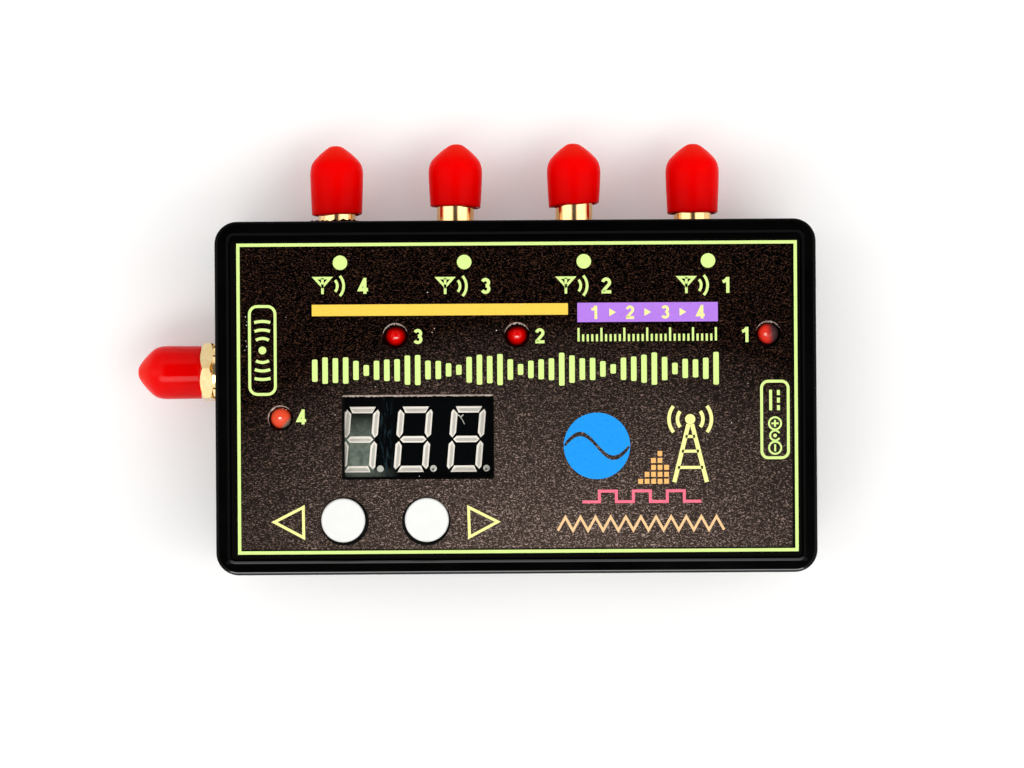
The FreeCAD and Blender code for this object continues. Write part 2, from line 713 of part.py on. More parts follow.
def cut_panel_openings(body):
    """Window, button holes and lamp holes through the panel, with the window's bevel."""
    holes = new_sketch(body, offset=panel_top())
    for _, x, y in button_places():
        draw_circle(holes, x, y, size.button_hole)
    for x, y, _, _ in lamp_places():
        draw_circle(holes, x, y, size.lamp_hole)
    pocket(body, holes, size.panel_thickness)
    window = new_sketch(body, offset=panel_top())
    draw_rounded(window, -size.window_place, -size.window_drop, size.window_length,
                 size.window_width, size.window_corner)
    pocket(body, window, size.panel_thickness)
    low, high = slab(panel_top())
    x, y = -size.window_place.value, -size.window_drop.value
    half_length, half_width = size.window_length.value / 2 + 0.01, size.window_width.value / 2 + 0.01
    chamfer(body, (x - half_length, y - half_width, low[2]), (x + half_length, y + half_width, high[2]),
            size.window_bevel)


def make_faceplate_label():
    """Thin printed sheet in the recess, cut away over the window, buttons and lamps."""
    body = new_body("faceplate_label")
    sheet_outline = new_sketch(body, offset=panel_top())
    length = size.case_length - 2 * size.rim_width - 2 * size.label_side_clearance
    width = size.case_width - 2 * size.rim_width - 2 * size.label_end_clearance
    draw_rounded(sheet_outline, 0, -size.label_shift, length, width, size.label_corner)
    pad(body, sheet_outline, size.label_thickness)
    holes = new_sketch(body, offset=label_top())
    draw_rounded(holes, -size.window_place, -size.window_drop,
                 size.window_length + 2 * size.window_bevel,
                 size.window_width + 2 * size.window_bevel, size.window_corner)
    for _, x, y in button_places():
        draw_circle(holes, x, y, size.button_hole)
    for x, y, _, _ in lamp_places():
        draw_circle(holes, x, y, size.lamp_hole)
    pocket(body, holes, size.label_thickness)


def make_screws(name, spots, top, head, head_height, core, length, head_below):
    """Four pan-head screws, upright, with the head below or above its seat at top."""
    body = new_body(name)
    heads = new_sketch(body, offset=top)
    shafts = new_sketch(body, offset=top)
    for x, y in spots:
        draw_circle(heads, x, y, head)
        draw_circle(shafts, x, y, core)
    pad(body, heads, head_height, backwards=head_below)
    tip = top + length if head_below else top - length
    face = top - head_height if head_below else top + head_height
    chamfer(body, *slab(face), head_height / 3)
    pad(body, shafts, length, backwards=not head_below)
    chamfer(body, *slab(tip), core / 4)


# ---- board and what it carries -------------------------------------------------------------

def board_edges():
    """West, east, south and north edge of the board."""
    west = -flange_back(size.case_length / 2)
    east = size.case_length / 2 - size.case_wall - size.board_edge_gap
    south = -(size.case_width / 2 - size.case_wall - size.board_edge_gap)
    north = flange_back(size.case_width / 2)
    return west, east, south, north


def lamp_lead_spots():
    """Where the lamp leads cross the middle of the board."""
    spots = []
    for x, y, tip, lean in lamp_places():
        shift = lean_offset(lean, tip - board_bottom() - size.board_thickness / 2)
        for side in (-1, 1):
            spots.append((x + shift + size.lamp_lead_pitch / 2 * side, y))
    return spots


def inlet_axis_height():
    return panel_bottom() - size.inlet_top_gap - size.inlet_width / 2


def inlet_back():
    return size.case_length / 2 - size.case_wall - size.seat_gap - size.inlet_length


def inlet_tab_spots():
    return [(inlet_back() + size.inlet_rear_tab, -size.inlet_place),
            (inlet_back() + size.inlet_middle_tab, -size.inlet_place)]


def make_main_board():
    body = new_body("main_board")
    west, east, south, north = board_edges()
    outline = new_sketch(body, offset=board_bottom())
    draw_rounded(outline, (west + east) / 2, (south + north) / 2, east - west, north - south,
                 size.board_corner)
    pad(body, outline, size.board_thickness)
    notches = new_sketch(body, offset=board_top())
    for x, y in case_screw_spots():
        draw_circle(notches, x, y, size.column_diameter + 2 * size.notch_clearance)
    pocket(body, notches, size.board_thickness)
    holes = new_sketch(body, offset=board_top())
    for x, y in post_spots():
        draw_circle(holes, x, y, size.board_screw_core + 2 * size.board_screw_slack)
    for x, y in lamp_lead_spots():
        draw_circle(holes, x, y, size.lead_hole)
    for x, y in inlet_tab_spots():
        draw_rectangle(holes, x, y, size.inlet_tab + 2 * size.inlet_tab_clearance,
                       size.inlet_tab_width + 2 * size.inlet_tab_clearance)
    pocket(body, holes, size.board_thickness)


def box_of(body, x, y, base, length, width, height):
    """A block centred on x, y that stands on base."""
    block = new_sketch(body, offset=base)
    draw_rectangle(block, x, y, length, width)
    return pad(body, block, height)


def segment_outlines():
    """The seven bars of a digit, about its middle: the middle bar, then the others in pairs."""
    bar, gap, corner = size.digit_bar, size.digit_bar_gap, size.digit_corner
    right, top, nose = size.digit_width / 2, size.digit_height / 2, size.digit_bar / 2
    end = right - corner
    outlines = [[(-end, 0), (nose - end, -nose), (end - nose, -nose), (end, 0), (end - nose, nose),
                 (nose - end, nose)]]
    level = [(-end, top), (end, top), (end - nose, top - bar), (nose - end, top - bar)]
    upright = [(right, top - corner - gap), (right - corner / 2, top - (corner + gap) / 2),
               (right - bar, top - bar - gap / 2), (right - bar, bar), (right - nose, gap),
               (right, nose + gap)]
    for north in (-1, 1):
        outlines.append([(x, y * north) for x, y in level])
        for east in (-1, 1):
            outlines.append([(x * east, y * north) for x, y in upright])
    return outlines


def draw_digit(sketch):
    """The bars and the decimal point of the first digit."""
    x = -size.display_place - size.digit_shift - size.digit_pitch
    y = -size.display_drop
    for outline in segment_outlines():
        draw_outline(sketch, [(x + px + py * size.digit_slant, y + py) for px, py in outline])
    foot = y - size.digit_height / 2 + size.point_diameter / 2
    lean = size.digit_slant * size.digit_height / 2
    draw_circle(sketch, x + size.point_place - lean, foot, size.point_diameter)


def display_top():
    return panel_bottom() - size.display_gap


def display_bottom():
    return display_top() - size.display_height


def display_pin_start():
    """First pin of the south row."""
    x = -size.display_place - size.display_pin_pitch * (size.pins_in_row - 1) / 2
    return x, -size.display_drop - size.display_pin_rows / 2


def make_display():
    housing = new_body("display_housing")
    box_of(housing, -size.display_place, -size.display_drop, display_bottom(), size.display_length,
           size.display_width, size.display_height)
    face = new_sketch(housing, offset=display_top())
    draw_digit(face)
    first = pocket(housing, face, size.digit_depth)
    pattern(housing, first, "X_Axis", size.digit_pitch, size.digit_count)
    segments = new_body("display_segments")
    bars = new_sketch(segments, offset=display_top())
    draw_digit(bars)
    first = pad(segments, bars, size.digit_depth, backwards=True)
    pattern(segments, first, "X_Axis", size.digit_pitch, size.digit_count)
    pins = new_body("display_pins")
    sockets = new_body("display_sockets")
    socket_height = display_bottom() - board_top()
    row_length = size.display_pin_pitch * size.pins_in_row
    x, south = display_pin_start()
    strips = new_sketch(sockets, offset=board_top())
    for y in (south, south + size.display_pin_rows):
        draw_rectangle(strips, as_size(-size.display_place), y, row_length, size.socket_width)
    pad(sockets, strips, socket_height)
    for y in (south, south + size.display_pin_rows):
        pin = new_sketch(pins, offset=display_bottom())
        draw_rectangle(pin, x, y, size.display_pin, size.display_pin)
        first = pad(pins, pin, socket_height - size.display_pin_gap, backwards=True)
        pattern(pins, first, "X_Axis", size.display_pin_pitch, size.pins_in_row)
        hole = new_sketch(sockets, offset=display_bottom())
        draw_rectangle(hole, x, y, size.socket_hole, size.socket_hole)
        first = pocket(sockets, hole, socket_height)
        pattern(sockets, first, "X_Axis", size.display_pin_pitch, size.pins_in_row)


def make_lamp(number, x, y, tip, lean):
    """Round-nosed 3 mm lamp with a flanged, flatted base; its leads are a group of their own."""
    tilt = FreeCAD.Rotation(Y_AXIS, -lean.value)
    body = new_body("lamp_%d" % number, x, y, tip, tilt)
    lens, flange = size.lamp_diameter / 2, size.lamp_flange / 2
    base = -size.lamp_length
    profile = new_sketch(body, "XZ_Plane")
    draw_outline(profile, [
        (0, base), (flange, base), (flange, base + size.lamp_flange_height),
        (lens, base + size.lamp_flange_height), (lens, -lens), (0, 0, lens, 1)])
    revolve(body, profile)
    flat = new_sketch(body, offset=base + size.lamp_flange_height)
    draw_rectangle(flat, flange, as_size(0), 2 * size.lamp_flat, size.lamp_flange)
    pocket(body, flat, size.lamp_flange_height)


def make_lamp_leads():
    """Two square leads under each lamp, through the board."""
    solids = []
    for x, y, tip, lean in lamp_places():
        length = (tip - size.lamp_length - board_bottom() + size.lead_stub).value
        lead = size.lamp_lead.value
        frame = FreeCAD.Placement(Vector(x.value, y.value, tip.value),
                                  FreeCAD.Rotation(Y_AXIS, -lean.value))
        for side in (-1, 1):
            corner = Vector(side * size.lamp_lead_pitch.value / 2 - lead / 2, -lead / 2,
                            -size.lamp_length.value - length)
            solid = Part.makeBox(lead, lead, length, corner)
            solid.Placement = frame
            solids.append(solid)
    hold_solids("lamp_leads", solids)


def make_switch(side, x, y):
    """Tactile switch: housing with a well, snap dome, plunger with its foot, cover plate."""
    stem, foot = size.switch_stem / 2, size.switch_foot / 2
    well_floor, top = size.switch_well_floor, size.switch_housing_height
    half = size.switch_side / 2

    housing = new_body(side + "_switch_housing", x, y, board_top())
    box_of(housing, as_size(0), as_size(0), 0, size.switch_side, size.switch_side, top)
    for east, north in ((-1, -1), (-1, 1), (1, -1), (1, 1)):
        cx, cy = half.value * east, half.value * north
        chamfer(housing, (cx - 0.01, cy - 0.01, -0.01), (cx + 0.01, cy + 0.01, top.value + 0.01),
                size.switch_corner)
    well = new_sketch(housing, offset=top)
    draw_circle(well, 0, 0, size.switch_well)
    pocket(housing, well, top - well_floor)

    plate = new_body(side + "_switch_cover_plate", x, y, board_top())
    cover = new_sketch(plate, offset=top)
    draw_rounded(cover, 0, 0, size.switch_side - size.switch_corner,
                 size.switch_side - size.switch_corner, size.switch_corner)
    draw_circle(cover, 0, 0, size.switch_stem + 2 * size.switch_stem_clearance)
    pad(plate, cover, size.switch_plate)

    plunger = new_body(side + "_switch_plunger", x, y, board_top())
    foot_base = well_floor + size.dome_height + size.switch_foot_gap
    foot_top = top - size.switch_foot_gap
    profile = new_sketch(plunger, "XZ_Plane")
    draw_outline(profile, [
        (0, foot_base), (stem, foot_base), (foot, foot_base + (foot - stem)), (foot, foot_top),
        (stem, foot_top), (stem, size.switch_total), (0, size.switch_total)])
    revolve(plunger, profile)

    dome = new_body(side + "_switch_dome", x, y, board_top() + well_floor)
    radius = size.dome_diameter / 2
    rise, metal = size.dome_height, size.dome_thickness
    profile = new_sketch(dome, "XZ_Plane")
    draw_outline(profile, [
        (radius, 0), (0, rise, dome_radius(radius, rise), 1), (0, rise - metal),
        (radius - metal, 0, dome_radius(radius - metal, rise - metal), -1)])
    revolve(dome, profile)


def make_switch_terminals():
    """Four flat terminals beside each switch, on the board."""
    body = new_body("switch_terminals")
    feet = new_sketch(body, offset=board_top())
    for _, x, y in button_places():
        for east in (-1, 1):
            for north in (-1, 1):
                draw_rectangle(feet, x + (size.switch_side + size.terminal_reach) / 2 * east,
                               y + size.terminal_pitch / 2 * north, size.terminal_reach,
                               size.terminal_width)
    pad(body, feet, size.terminal_thickness)


def make_button_cap(side, x, y):
    """White cap on the plunger, kept in the case by a flange under the panel."""
    body = new_body(side + "_button_cap", x, y, 0)
    stem, cap, flange = size.switch_stem / 2, size.button_cap / 2, size.button_flange / 2
    flange_top = panel_bottom() - size.button_flange_gap
    flange_base = flange_top - size.button_flange_height
    base = flange_base - size.button_skirt
    roof = board_top() + size.switch_total
    profile = new_sketch(body, "XZ_Plane")
    draw_outline(profile, [
        (stem, base), (cap, base), (cap, flange_base), (flange, flange_base), (flange, flange_top),
        (cap, flange_top), (cap, size.button_top - size.button_edge),
        (cap - size.button_edge, size.button_top, size.button_edge, 1), (0, size.button_top),
        (0, roof), (stem, roof)])
    revolve(body, profile)


# ---- jacks and dust caps -------------------------------------------------------------------

def antenna_frame():
    """Turns a jack's own axis, +Z, towards +Y, with its own +Y pointing down."""
    return FreeCAD.Rotation(X_AXIS, -90)


def radio_frame():
    """Turns a jack's own axis towards -X, with its own +Y pointing down."""
    return FreeCAD.Rotation(Z_AXIS, 90).multiply(FreeCAD.Rotation(X_AXIS, -90))


def jack_sites():
    """Name, x, y, rotation, neck and barrel of each jack; x, y lie on its flange's back."""
    sites = []
    for number, place in enumerate(jack_places(), start=1):
        sites.append(("antenna_jack_%d" % number, place, flange_back(size.case_width / 2),
                      antenna_frame(), size.antenna_neck, size.antenna_barrel))
    sites.append(("radio_jack", -flange_back(size.case_length / 2), size.radio_jack_place,
                  radio_frame(), size.radio_neck, size.radio_barrel))
    return sites


def make_jack(name, x, y, rotation, plain, barrel):
    """Gold shell: square flange, four board legs, smooth neck, threaded barrel, open bore."""
    body = new_body(name, x, y, size.jack_height, rotation)
    flange, mouth = size.jack_flange_thickness, size.jack_flange_thickness + barrel
    block = new_sketch(body)
    draw_rounded(block, 0, 0, size.jack_flange, size.jack_flange, size.jack_leg / 4)
    pad(body, block, flange)
    legs = new_sketch(body)
    for east in (-1, 1):
        x_leg = (size.jack_flange - size.jack_leg) / 2 * east
        draw_rectangle(legs, x_leg, size.board_drop - size.jack_leg / 2, size.jack_leg, size.jack_leg)
        draw_rectangle(legs, x_leg, size.board_drop + size.board_thickness + size.jack_leg / 2,
                       size.jack_leg, size.jack_leg)
    pad(body, legs, size.jack_leg_length, backwards=True)
    neck, thread, bore = size.jack_neck / 2, size.jack_thread / 2, size.jack_bore / 2
    hollow, bevel = size.insulator_diameter / 2, size.jack_mouth_chamfer
    thread_start = flange + plain
    profile = new_sketch(body, "XZ_Plane")
    draw_outline(profile, [
        (0, flange / 2), (neck, flange / 2), (neck, thread_start),
        (thread - bevel, thread_start), (thread, thread_start + bevel), (thread, mouth - bevel),
        (thread - bevel, mouth), (0, mouth)])
    revolve(body, profile)
    opening = new_sketch(body, offset=mouth)
    draw_circle(opening, 0, 0, size.jack_bore)
    pocket(body, opening, size.jack_bore_depth)
    core = new_sketch(body, offset=mouth)
    draw_circle(core, 0, 0, size.insulator_diameter)
    pocket(body, core, mouth)


def make_jack_inside(kind):
    """The insulators, or the centre contacts, of all five jacks."""
    solids = []
    for _, x, y, rotation, _, barrel in jack_sites():
        face = (size.jack_flange_thickness + barrel - size.jack_bore_depth).value
        contact, insulator = size.contact_diameter.value / 2, size.insulator_diameter.value / 2
        if kind == "insulators":
            solid = Part.makeCylinder(insulator, face)
            solid = solid.cut(Part.makeCylinder(contact, face))
        else:
            tail = Part.makeCylinder(size.contact_tail_diameter.value / 2, size.contact_tail.value,
                                     Vector(0, 0, -size.contact_tail.value))
            solid = Part.makeCylinder(contact, face).fuse(tail)
            depth = size.contact_bore_depth.value
            solid = solid.cut(Part.makeCylinder(size.contact_bore.value / 2, depth,
                                                Vector(0, 0, face - depth)))
        place = Vector(x.value, y.value, size.jack_height.value)
        solid.Placement = FreeCAD.Placement(place, rotation)
        solids.append(solid)
    hold_solids("jack_" + kind, solids)


def dome_radius(half, rise):
    """Radius of a round dome that is 2 * half wide and stands up by rise."""
    return (half * half + rise * rise) / (2 * rise)


def ring(body, inner, outer, thickness):
    profile = new_sketch(body)
    draw_circle(profile, 0, 0, outer)
    draw_circle(profile, 0, 0, inner)
    return pad(body, profile, thickness)


def make_radio_hardware():
    """Flat washer, toothed lock washer and hex nut outside the west wall."""
    wall = -size.case_length / 2
    bore = size.jack_thread + 2 * size.nut_bore_clearance
    flat = new_body("radio_jack_flat_washer", wall, size.radio_jack_place, size.jack_height,
                    radio_frame())
    ring(flat, bore, size.flat_washer, size.flat_washer_thickness)

    lock = new_body("radio_jack_lock_washer", wall - size.flat_washer_thickness,
                    size.radio_jack_place, size.jack_height, radio_frame())
    ring(lock, bore, size.lock_washer, size.lock_washer_thickness)
    middle = (bore + size.lock_washer) / 4
    notch = new_sketch(lock, offset=size.lock_washer_thickness)
    draw_rectangle(notch, size.lock_washer / 2, as_size(0), size.lock_washer / 2 - middle,
                   size.lock_washer_notch)
    first = pocket(lock, notch, size.lock_washer_thickness)
    teeth = lock.newObject("PartDesign::PolarPattern", "radio_jack_lock_washer_teeth")
    teeth.Originals = [first]
    teeth.Axis = (notch, ["N_Axis"])
    teeth.Angle = 360
    bind(teeth, "Occurrences", size.lock_washer_teeth)
    lock.Tip = teeth
    doc.recompute()

    base = wall - size.flat_washer_thickness - size.lock_washer_thickness
    nut = new_body("radio_jack_nut", base, size.radio_jack_place, size.jack_height, radio_frame())
    corner = size.nut_across / math.sqrt(3)
    hexagon = new_sketch(nut)
    points = []
    for step in range(6):
        angle = 60 * step - size.nut_turn
        points.append((corner * cosine(angle), corner * sine(angle)))
    draw_outline(hexagon, points)
    draw_circle(hexagon, 0, 0, bore)
    pad(nut, hexagon, size.nut_thickness)
    cut_nut_corners(nut, corner)


def cut_nut_corners(nut, corner):
    """Cone-shaped relief on the corners of both faces of the nut."""
    flat, drop, outside = size.nut_across / 2, size.nut_chamfer, corner + size.nut_chamfer
    profile = new_sketch(nut, "XZ_Plane")
    for face, inward in ((size.nut_thickness, -1), (as_size(0), 1)):
        draw_outline(profile, [
            (flat, face), (outside, face + 2 * drop * inward), (outside, face - drop * inward),
            (flat, face - drop * inward)])
    groove = nut.newObject("PartDesign::Groove", "radio_jack_nut_corners")
    groove.Profile = profile
    groove.ReferenceAxis = (profile, ["V_Axis"])
    groove.Angle = 360
    doc.recompute()


def dust_cap_sites():
    """Name, x, y, rotation, mouth and length of each dust cap; x, y lie at its mouth."""
    gaps = [size.outer_cap_gap, size.inner_cap_gap, size.inner_cap_gap, size.outer_cap_gap]
    lengths = [size.outer_cap_length, size.inner_cap_length, size.inner_cap_length,
               size.outer_cap_length]
    sites = []
    for number, place in enumerate(jack_places()):
        sites.append(("antenna_dust_cap_%d" % (number + 1), place,
                      size.case_width / 2 + gaps[number], antenna_frame(), size.cap_mouth,
                      lengths[number]))
    sites.append(("radio_dust_cap", -(size.case_length / 2 + size.radio_cap_gap),
                  size.radio_jack_place, radio_frame(), size.radio_cap_mouth,
                  size.radio_cap_length))
    return sites


def make_dust_cap(name, x, y, rotation, mouth_diameter, length):
    """Dipped vinyl cap: round nose, cone, soft shoulder, slightly bellied side, open mouth."""
    body = new_body(name, x, y, size.jack_height, rotation)
    bore, widest, mouth = size.cap_bore / 2, size.cap_body / 2, mouth_diameter / 2
    nose, cone, lip, skin = size.cap_nose / 2, size.cap_cone / 2, size.cap_lip, size.cap_skin
    nose_end, cone_end = length - size.cap_nose_height, length - size.cap_cone_height
    side_end = length - size.cap_body_start
    profile = new_sketch(body, "XZ_Plane")
    draw_outline(profile, [
        (bore, 0), (mouth - lip, 0), (mouth, lip),
        (widest, side_end, size.cap_side_radius, 1),
        (cone, cone_end, size.cap_shoulder_radius, 1), (nose, nose_end),
        (0, length, dome_radius(nose, size.cap_nose_height), 1),
        (0, length - skin), (cone - skin, cone_end - skin / 4), (bore, side_end + skin / 2)])
    revolve(body, profile)


# ---- direct current inlet ------------------------------------------------------------------

def make_inlet():
    """Plastic inlet block with a round back, its centre pin and its solder tabs."""
    body = new_body("dc_inlet_body", inlet_back(), -size.inlet_place, inlet_axis_height())
    half, barrel = size.inlet_width / 2, size.inlet_barrel / 2
    bottom = board_top() - inlet_axis_height()
    back = new_sketch(body, "YZ_Plane")
    draw_outline(back, [
        (-barrel, bottom), (barrel, bottom), (barrel, 0), (0, barrel, barrel, 1),
        (-barrel, 0, barrel, 1)])
    pad(body, back, size.inlet_length - size.inlet_front)
    front = new_sketch(body, "YZ_Plane", size.inlet_length - size.inlet_front)
    draw_rounded(front, 0, (half + bottom) / 2, size.inlet_width, half - bottom, size.switch_corner)
    pad(body, front, size.inlet_front)
    bore = new_sketch(body, "YZ_Plane", size.inlet_length)
    draw_circle(bore, 0, 0, size.inlet_bore)
    pocket(body, bore, size.inlet_bore_depth)

    pin = new_body("dc_inlet_pin", inlet_back(), -size.inlet_place, inlet_axis_height())
    bore_floor = size.inlet_length - size.inlet_bore_depth
    shaft = new_sketch(pin, "YZ_Plane", bore_floor)
    draw_circle(shaft, 0, 0, size.inlet_pin)
    pad(pin, shaft, size.inlet_bore_depth - size.inlet_pin_recess)
    tip = (size.inlet_length - size.inlet_pin_recess).value
    fillet(pin, (tip - 0.01, -half.value, -half.value), (tip + 0.01, half.value, half.value),
           size.inlet_pin / 4)

    tabs = new_body("dc_inlet_contacts")
    for x, y in inlet_tab_spots():
        box_of(tabs, x, y, board_top() - size.inlet_tab_drop, size.inlet_tab, size.inlet_tab_width,
               size.inlet_tab_drop)


# ---- electronic components -----------------------------------------------------------------

def make_microcontroller():
    body = new_body("microcontroller")
    base = board_top() + size.chip_lift
    box_of(body, size.chip_place, -size.chip_drop, base, size.chip_length, size.chip_width,
           size.chip_height)
    mark = new_sketch(body, offset=base + size.chip_height)
    draw_circle(mark, size.chip_place - size.chip_length / 2 + size.chip_lead_pitch,
                -size.chip_drop - size.chip_width / 2 + size.chip_lead_pitch, size.chip_lead_pitch)
    pocket(body, mark, size.chip_lift)

    leads = new_body("microcontroller_leads")
    metal, rise = size.chip_lead_metal, size.chip_lead_rise
    start = size.chip_place - size.chip_lead_pitch * (size.chip_leads_in_row - 1) / 2
    for north in (-1, 1):
        edge = -size.chip_drop + size.chip_width / 2 * north
        reach = size.chip_lead_reach * north
        foot = size.chip_lead_foot * north
        skin = metal * north
        outline = new_sketch(leads, "YZ_Plane", start - size.chip_lead_width / 2)
        low = board_top()
        points = [
            (edge, low + rise - metal), (edge + reach - foot - skin, low + rise - metal),
            (edge + reach - foot - skin, low), (edge + reach, low), (edge + reach, low + metal),
            (edge + reach - foot, low + metal), (edge + reach - foot, low + rise), (edge, low + rise)]
        draw_outline(outline, points)
        first = pad(leads, outline, size.chip_lead_width)
        pattern(leads, first, "X_Axis", size.chip_lead_pitch, size.chip_leads_in_row)


def make_can_capacitor(name, x, y, diameter, height):
    """Aluminium can with a groove, on a square plastic foot."""
    body = new_body(name, x, y, board_top())
    foot, radius, groove = size.capacitor_foot, diameter / 2, size.capacitor_crimp
    base = new_sketch(body)
    draw_rectangle(base, as_size(0), as_size(0), diameter + groove, diameter + groove)
    pad(body, base, foot)
    profile = new_sketch(body, "XZ_Plane")
    draw_outline(profile, [
        (0, foot / 2), (radius, foot / 2), (radius, 2 * foot - groove),
        (radius - groove, 2 * foot), (radius, 2 * foot + groove), (radius, height - groove),
        (radius - groove, height, groove, 1), (0, height)])
    revolve(body, profile)


def make_small_parts():
    base = board_top()
    _, _, south, _ = board_edges()
    rf_chip = new_body("rf_switch_chip")
    box_of(rf_chip, as_size(0), size.rf_chip_place, base, size.rf_chip_side, size.rf_chip_side,
           size.rf_chip_height)
    regulator = new_body("voltage_regulator")
    row = south + size.regulator_inset
    box_of(regulator, size.regulator_place, row, base, size.regulator_length,
           size.regulator_width, size.regulator_height)
    box_of(regulator, size.regulator_place, row, base, size.regulator_length / 2,
           size.regulator_width + 2 * size.regulator_tab, size.terminal_thickness)
    diode = new_body("protection_diode")
    box_of(diode, size.diode_place, -size.diode_drop, base, size.diode_length, size.diode_width,
           size.diode_height)
    crystal = new_body("crystal")
    can = new_sketch(crystal, offset=base)
    draw_rounded(can, size.crystal_place, size.crystal_rise, size.crystal_length,
                 size.crystal_width, size.crystal_width / 2 - size.chip_lift)
    pad(crystal, can, size.crystal_height)
    resistor_row = south + size.resistor_inset
    lead_tips = -size.chip_drop - size.chip_width / 2 - size.chip_lead_reach
    transistor_row = (resistor_row + size.resistor_length / 2 + lead_tips) / 2
    make_row("digit_transistors", size.transistor_place, transistor_row,
             size.transistor_length, size.transistor_width, size.transistor_height,
             size.transistor_pitch, size.transistor_count)
    make_row("chip_resistors", -size.resistor_place, resistor_row, size.resistor_width,
             size.resistor_length, size.resistor_height, size.resistor_pitch, size.resistor_count)
    ceramics = new_body("chip_capacitors")
    for place in jack_places():
        box_of(ceramics, place + size.ceramic_offset, size.ceramic_rise, base, size.ceramic_length,
               size.ceramic_width, size.ceramic_height)


def make_row(name, x, y, length, width, height, pitch, count):
    """Equal blocks in a row along X on the board."""
    body = new_body(name)
    first = box_of(body, x, y, board_top(), length, width, height)
    pattern(body, first, "X_Axis", pitch, count)


# ---- whole object --------------------------------------------------------------------------

def build():
    fill_sheet()
    make_bottom_shell()
    make_top_cover()
    make_faceplate_label()
    make_screws("case_screws", case_screw_spots(), size.case_screw_seat, size.case_screw_head,
                size.case_screw_head_height, size.case_screw_core, size.case_screw_length, True)
    make_main_board()
    make_screws("board_screws", post_spots(), board_top(), size.board_screw_head,
                size.board_screw_head_height, size.board_screw_core, size.board_screw_length, False)
    make_display()
    for number, (x, y, tip, lean) in enumerate(lamp_places(), start=1):
        make_lamp(number, x, y, tip, lean)
    make_lamp_leads()
    for side, x, y in button_places():
        make_switch(side, x, y)
        make_button_cap(side, x, y)
    make_switch_terminals()
    for name, x, y, rotation, plain, barrel in jack_sites():
        make_jack(name, x, y, rotation, plain, barrel)
    make_jack_inside("insulators")
    make_jack_inside("contacts")
    make_radio_hardware()
    for name, x, y, rotation, mouth, length in dust_cap_sites():
        make_dust_cap(name, x, y, rotation, mouth, length)
    make_inlet()
    make_microcontroller()
    make_can_capacitor("supply_capacitor", size.supply_capacitor_place, -size.supply_capacitor_drop,
                       size.supply_capacitor_diameter, size.supply_capacitor_height)
    make_can_capacitor("output_capacitor", size.output_capacitor_place, size.output_capacitor_rise,
                       size.output_capacitor_diameter, size.output_capacitor_height)
    make_small_parts()
    doc.recompute()


def check():
    for item in doc.Objects:
        if "Invalid" in item.State or "Error" in item.State:
            raise ValueError("%s failed: %s" % (item.Label, item.State))
    for item in sub_parts:
        if item.Shape.isNull() or not item.Shape.isValid():
            raise ValueError("%s has no valid shape" % item.Label)


def export():
    os.makedirs("parts", exist_ok=True)
    for item in sub_parts:
        item.Shape.exportStep("parts/%s.step" % item.Label)
    print("wrote %d sub-parts" % len(sub_parts))


build()
check()
export()
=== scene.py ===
import math
import random

import bmesh
import bpy
from mathutils import Matrix, Vector


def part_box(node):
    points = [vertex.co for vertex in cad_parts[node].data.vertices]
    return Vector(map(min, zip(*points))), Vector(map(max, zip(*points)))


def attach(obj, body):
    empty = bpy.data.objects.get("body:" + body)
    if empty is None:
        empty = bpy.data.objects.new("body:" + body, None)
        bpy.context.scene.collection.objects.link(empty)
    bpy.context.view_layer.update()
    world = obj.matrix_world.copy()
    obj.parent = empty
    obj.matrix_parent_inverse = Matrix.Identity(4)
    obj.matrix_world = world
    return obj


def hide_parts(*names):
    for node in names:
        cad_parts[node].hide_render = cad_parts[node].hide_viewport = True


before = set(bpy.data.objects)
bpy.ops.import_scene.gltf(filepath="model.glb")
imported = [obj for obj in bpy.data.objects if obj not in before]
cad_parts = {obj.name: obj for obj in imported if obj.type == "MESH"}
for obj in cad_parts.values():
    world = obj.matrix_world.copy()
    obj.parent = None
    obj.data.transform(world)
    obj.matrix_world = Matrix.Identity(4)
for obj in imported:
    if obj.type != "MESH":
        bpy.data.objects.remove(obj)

# Coaxial antenna switch: X along the case, +Y towards the four antenna jacks, +Z out of the panel.
# Sizes here are in millimetres and become metres when a mesh is made.

mm = 0.001
fullTurn = 2 * math.pi
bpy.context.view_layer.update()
caseBody = "case"


def boxOf(node):
    low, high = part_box(node)
    return low / mm, high / mm


def linear(red, green, blue):
    # a colour as seen on a screen, 0 to 255, as the linear colour a shader needs
    def channel(value):
        value = value / 255
        return value / 12.92 if value <= 0.04045 else ((value + 0.055) / 1.055) ** 2.4
    return (channel(red), channel(green), channel(blue), 1.0)


labelTop = boxOf("faceplate_label")[1].z
rimTop = boxOf("top_cover")[1].z


# shader nodes

def addNode(tree, kind, inputs=None, **settings):
    # an input gets a value, or the socket that feeds it
    node = tree.nodes.new("ShaderNode" + kind)
    for name, value in settings.items():
        setattr(node, name, value)
    for name, value in (inputs or {}).items():
        if isinstance(value, bpy.types.NodeSocket):
            tree.links.new(value, node.inputs[name])
        else:
            node.inputs[name].default_value = value
    return node


def calculate(tree, operation, *items):
    return addNode(tree, "Math", dict(enumerate(items)), operation=operation).outputs[0]


def combine(tree, operation, *items):
    # vectors; a length or a dot product comes out as a value
    node = addNode(tree, "VectorMath", dict(enumerate(items)), operation=operation)
    return node.outputs["Value" if operation in ("LENGTH", "DOT_PRODUCT") else "Vector"]


def ramp(tree, value, first, last, low=0.0, high=1.0, smooth=False):
    # low where the value is at first, high where it is at last
    inputs = {"Value": value, "From Min": first, "From Max": last, "To Min": low, "To Max": high}
    node = addNode(tree, "MapRange", inputs, interpolation_type="SMOOTHSTEP" if smooth else "LINEAR")
    return node.outputs["Result"]


def mixValues(tree, factor, first, second):
    return addNode(tree, "Mix", {"Factor": factor, "A": first, "B": second}).outputs["Result"]


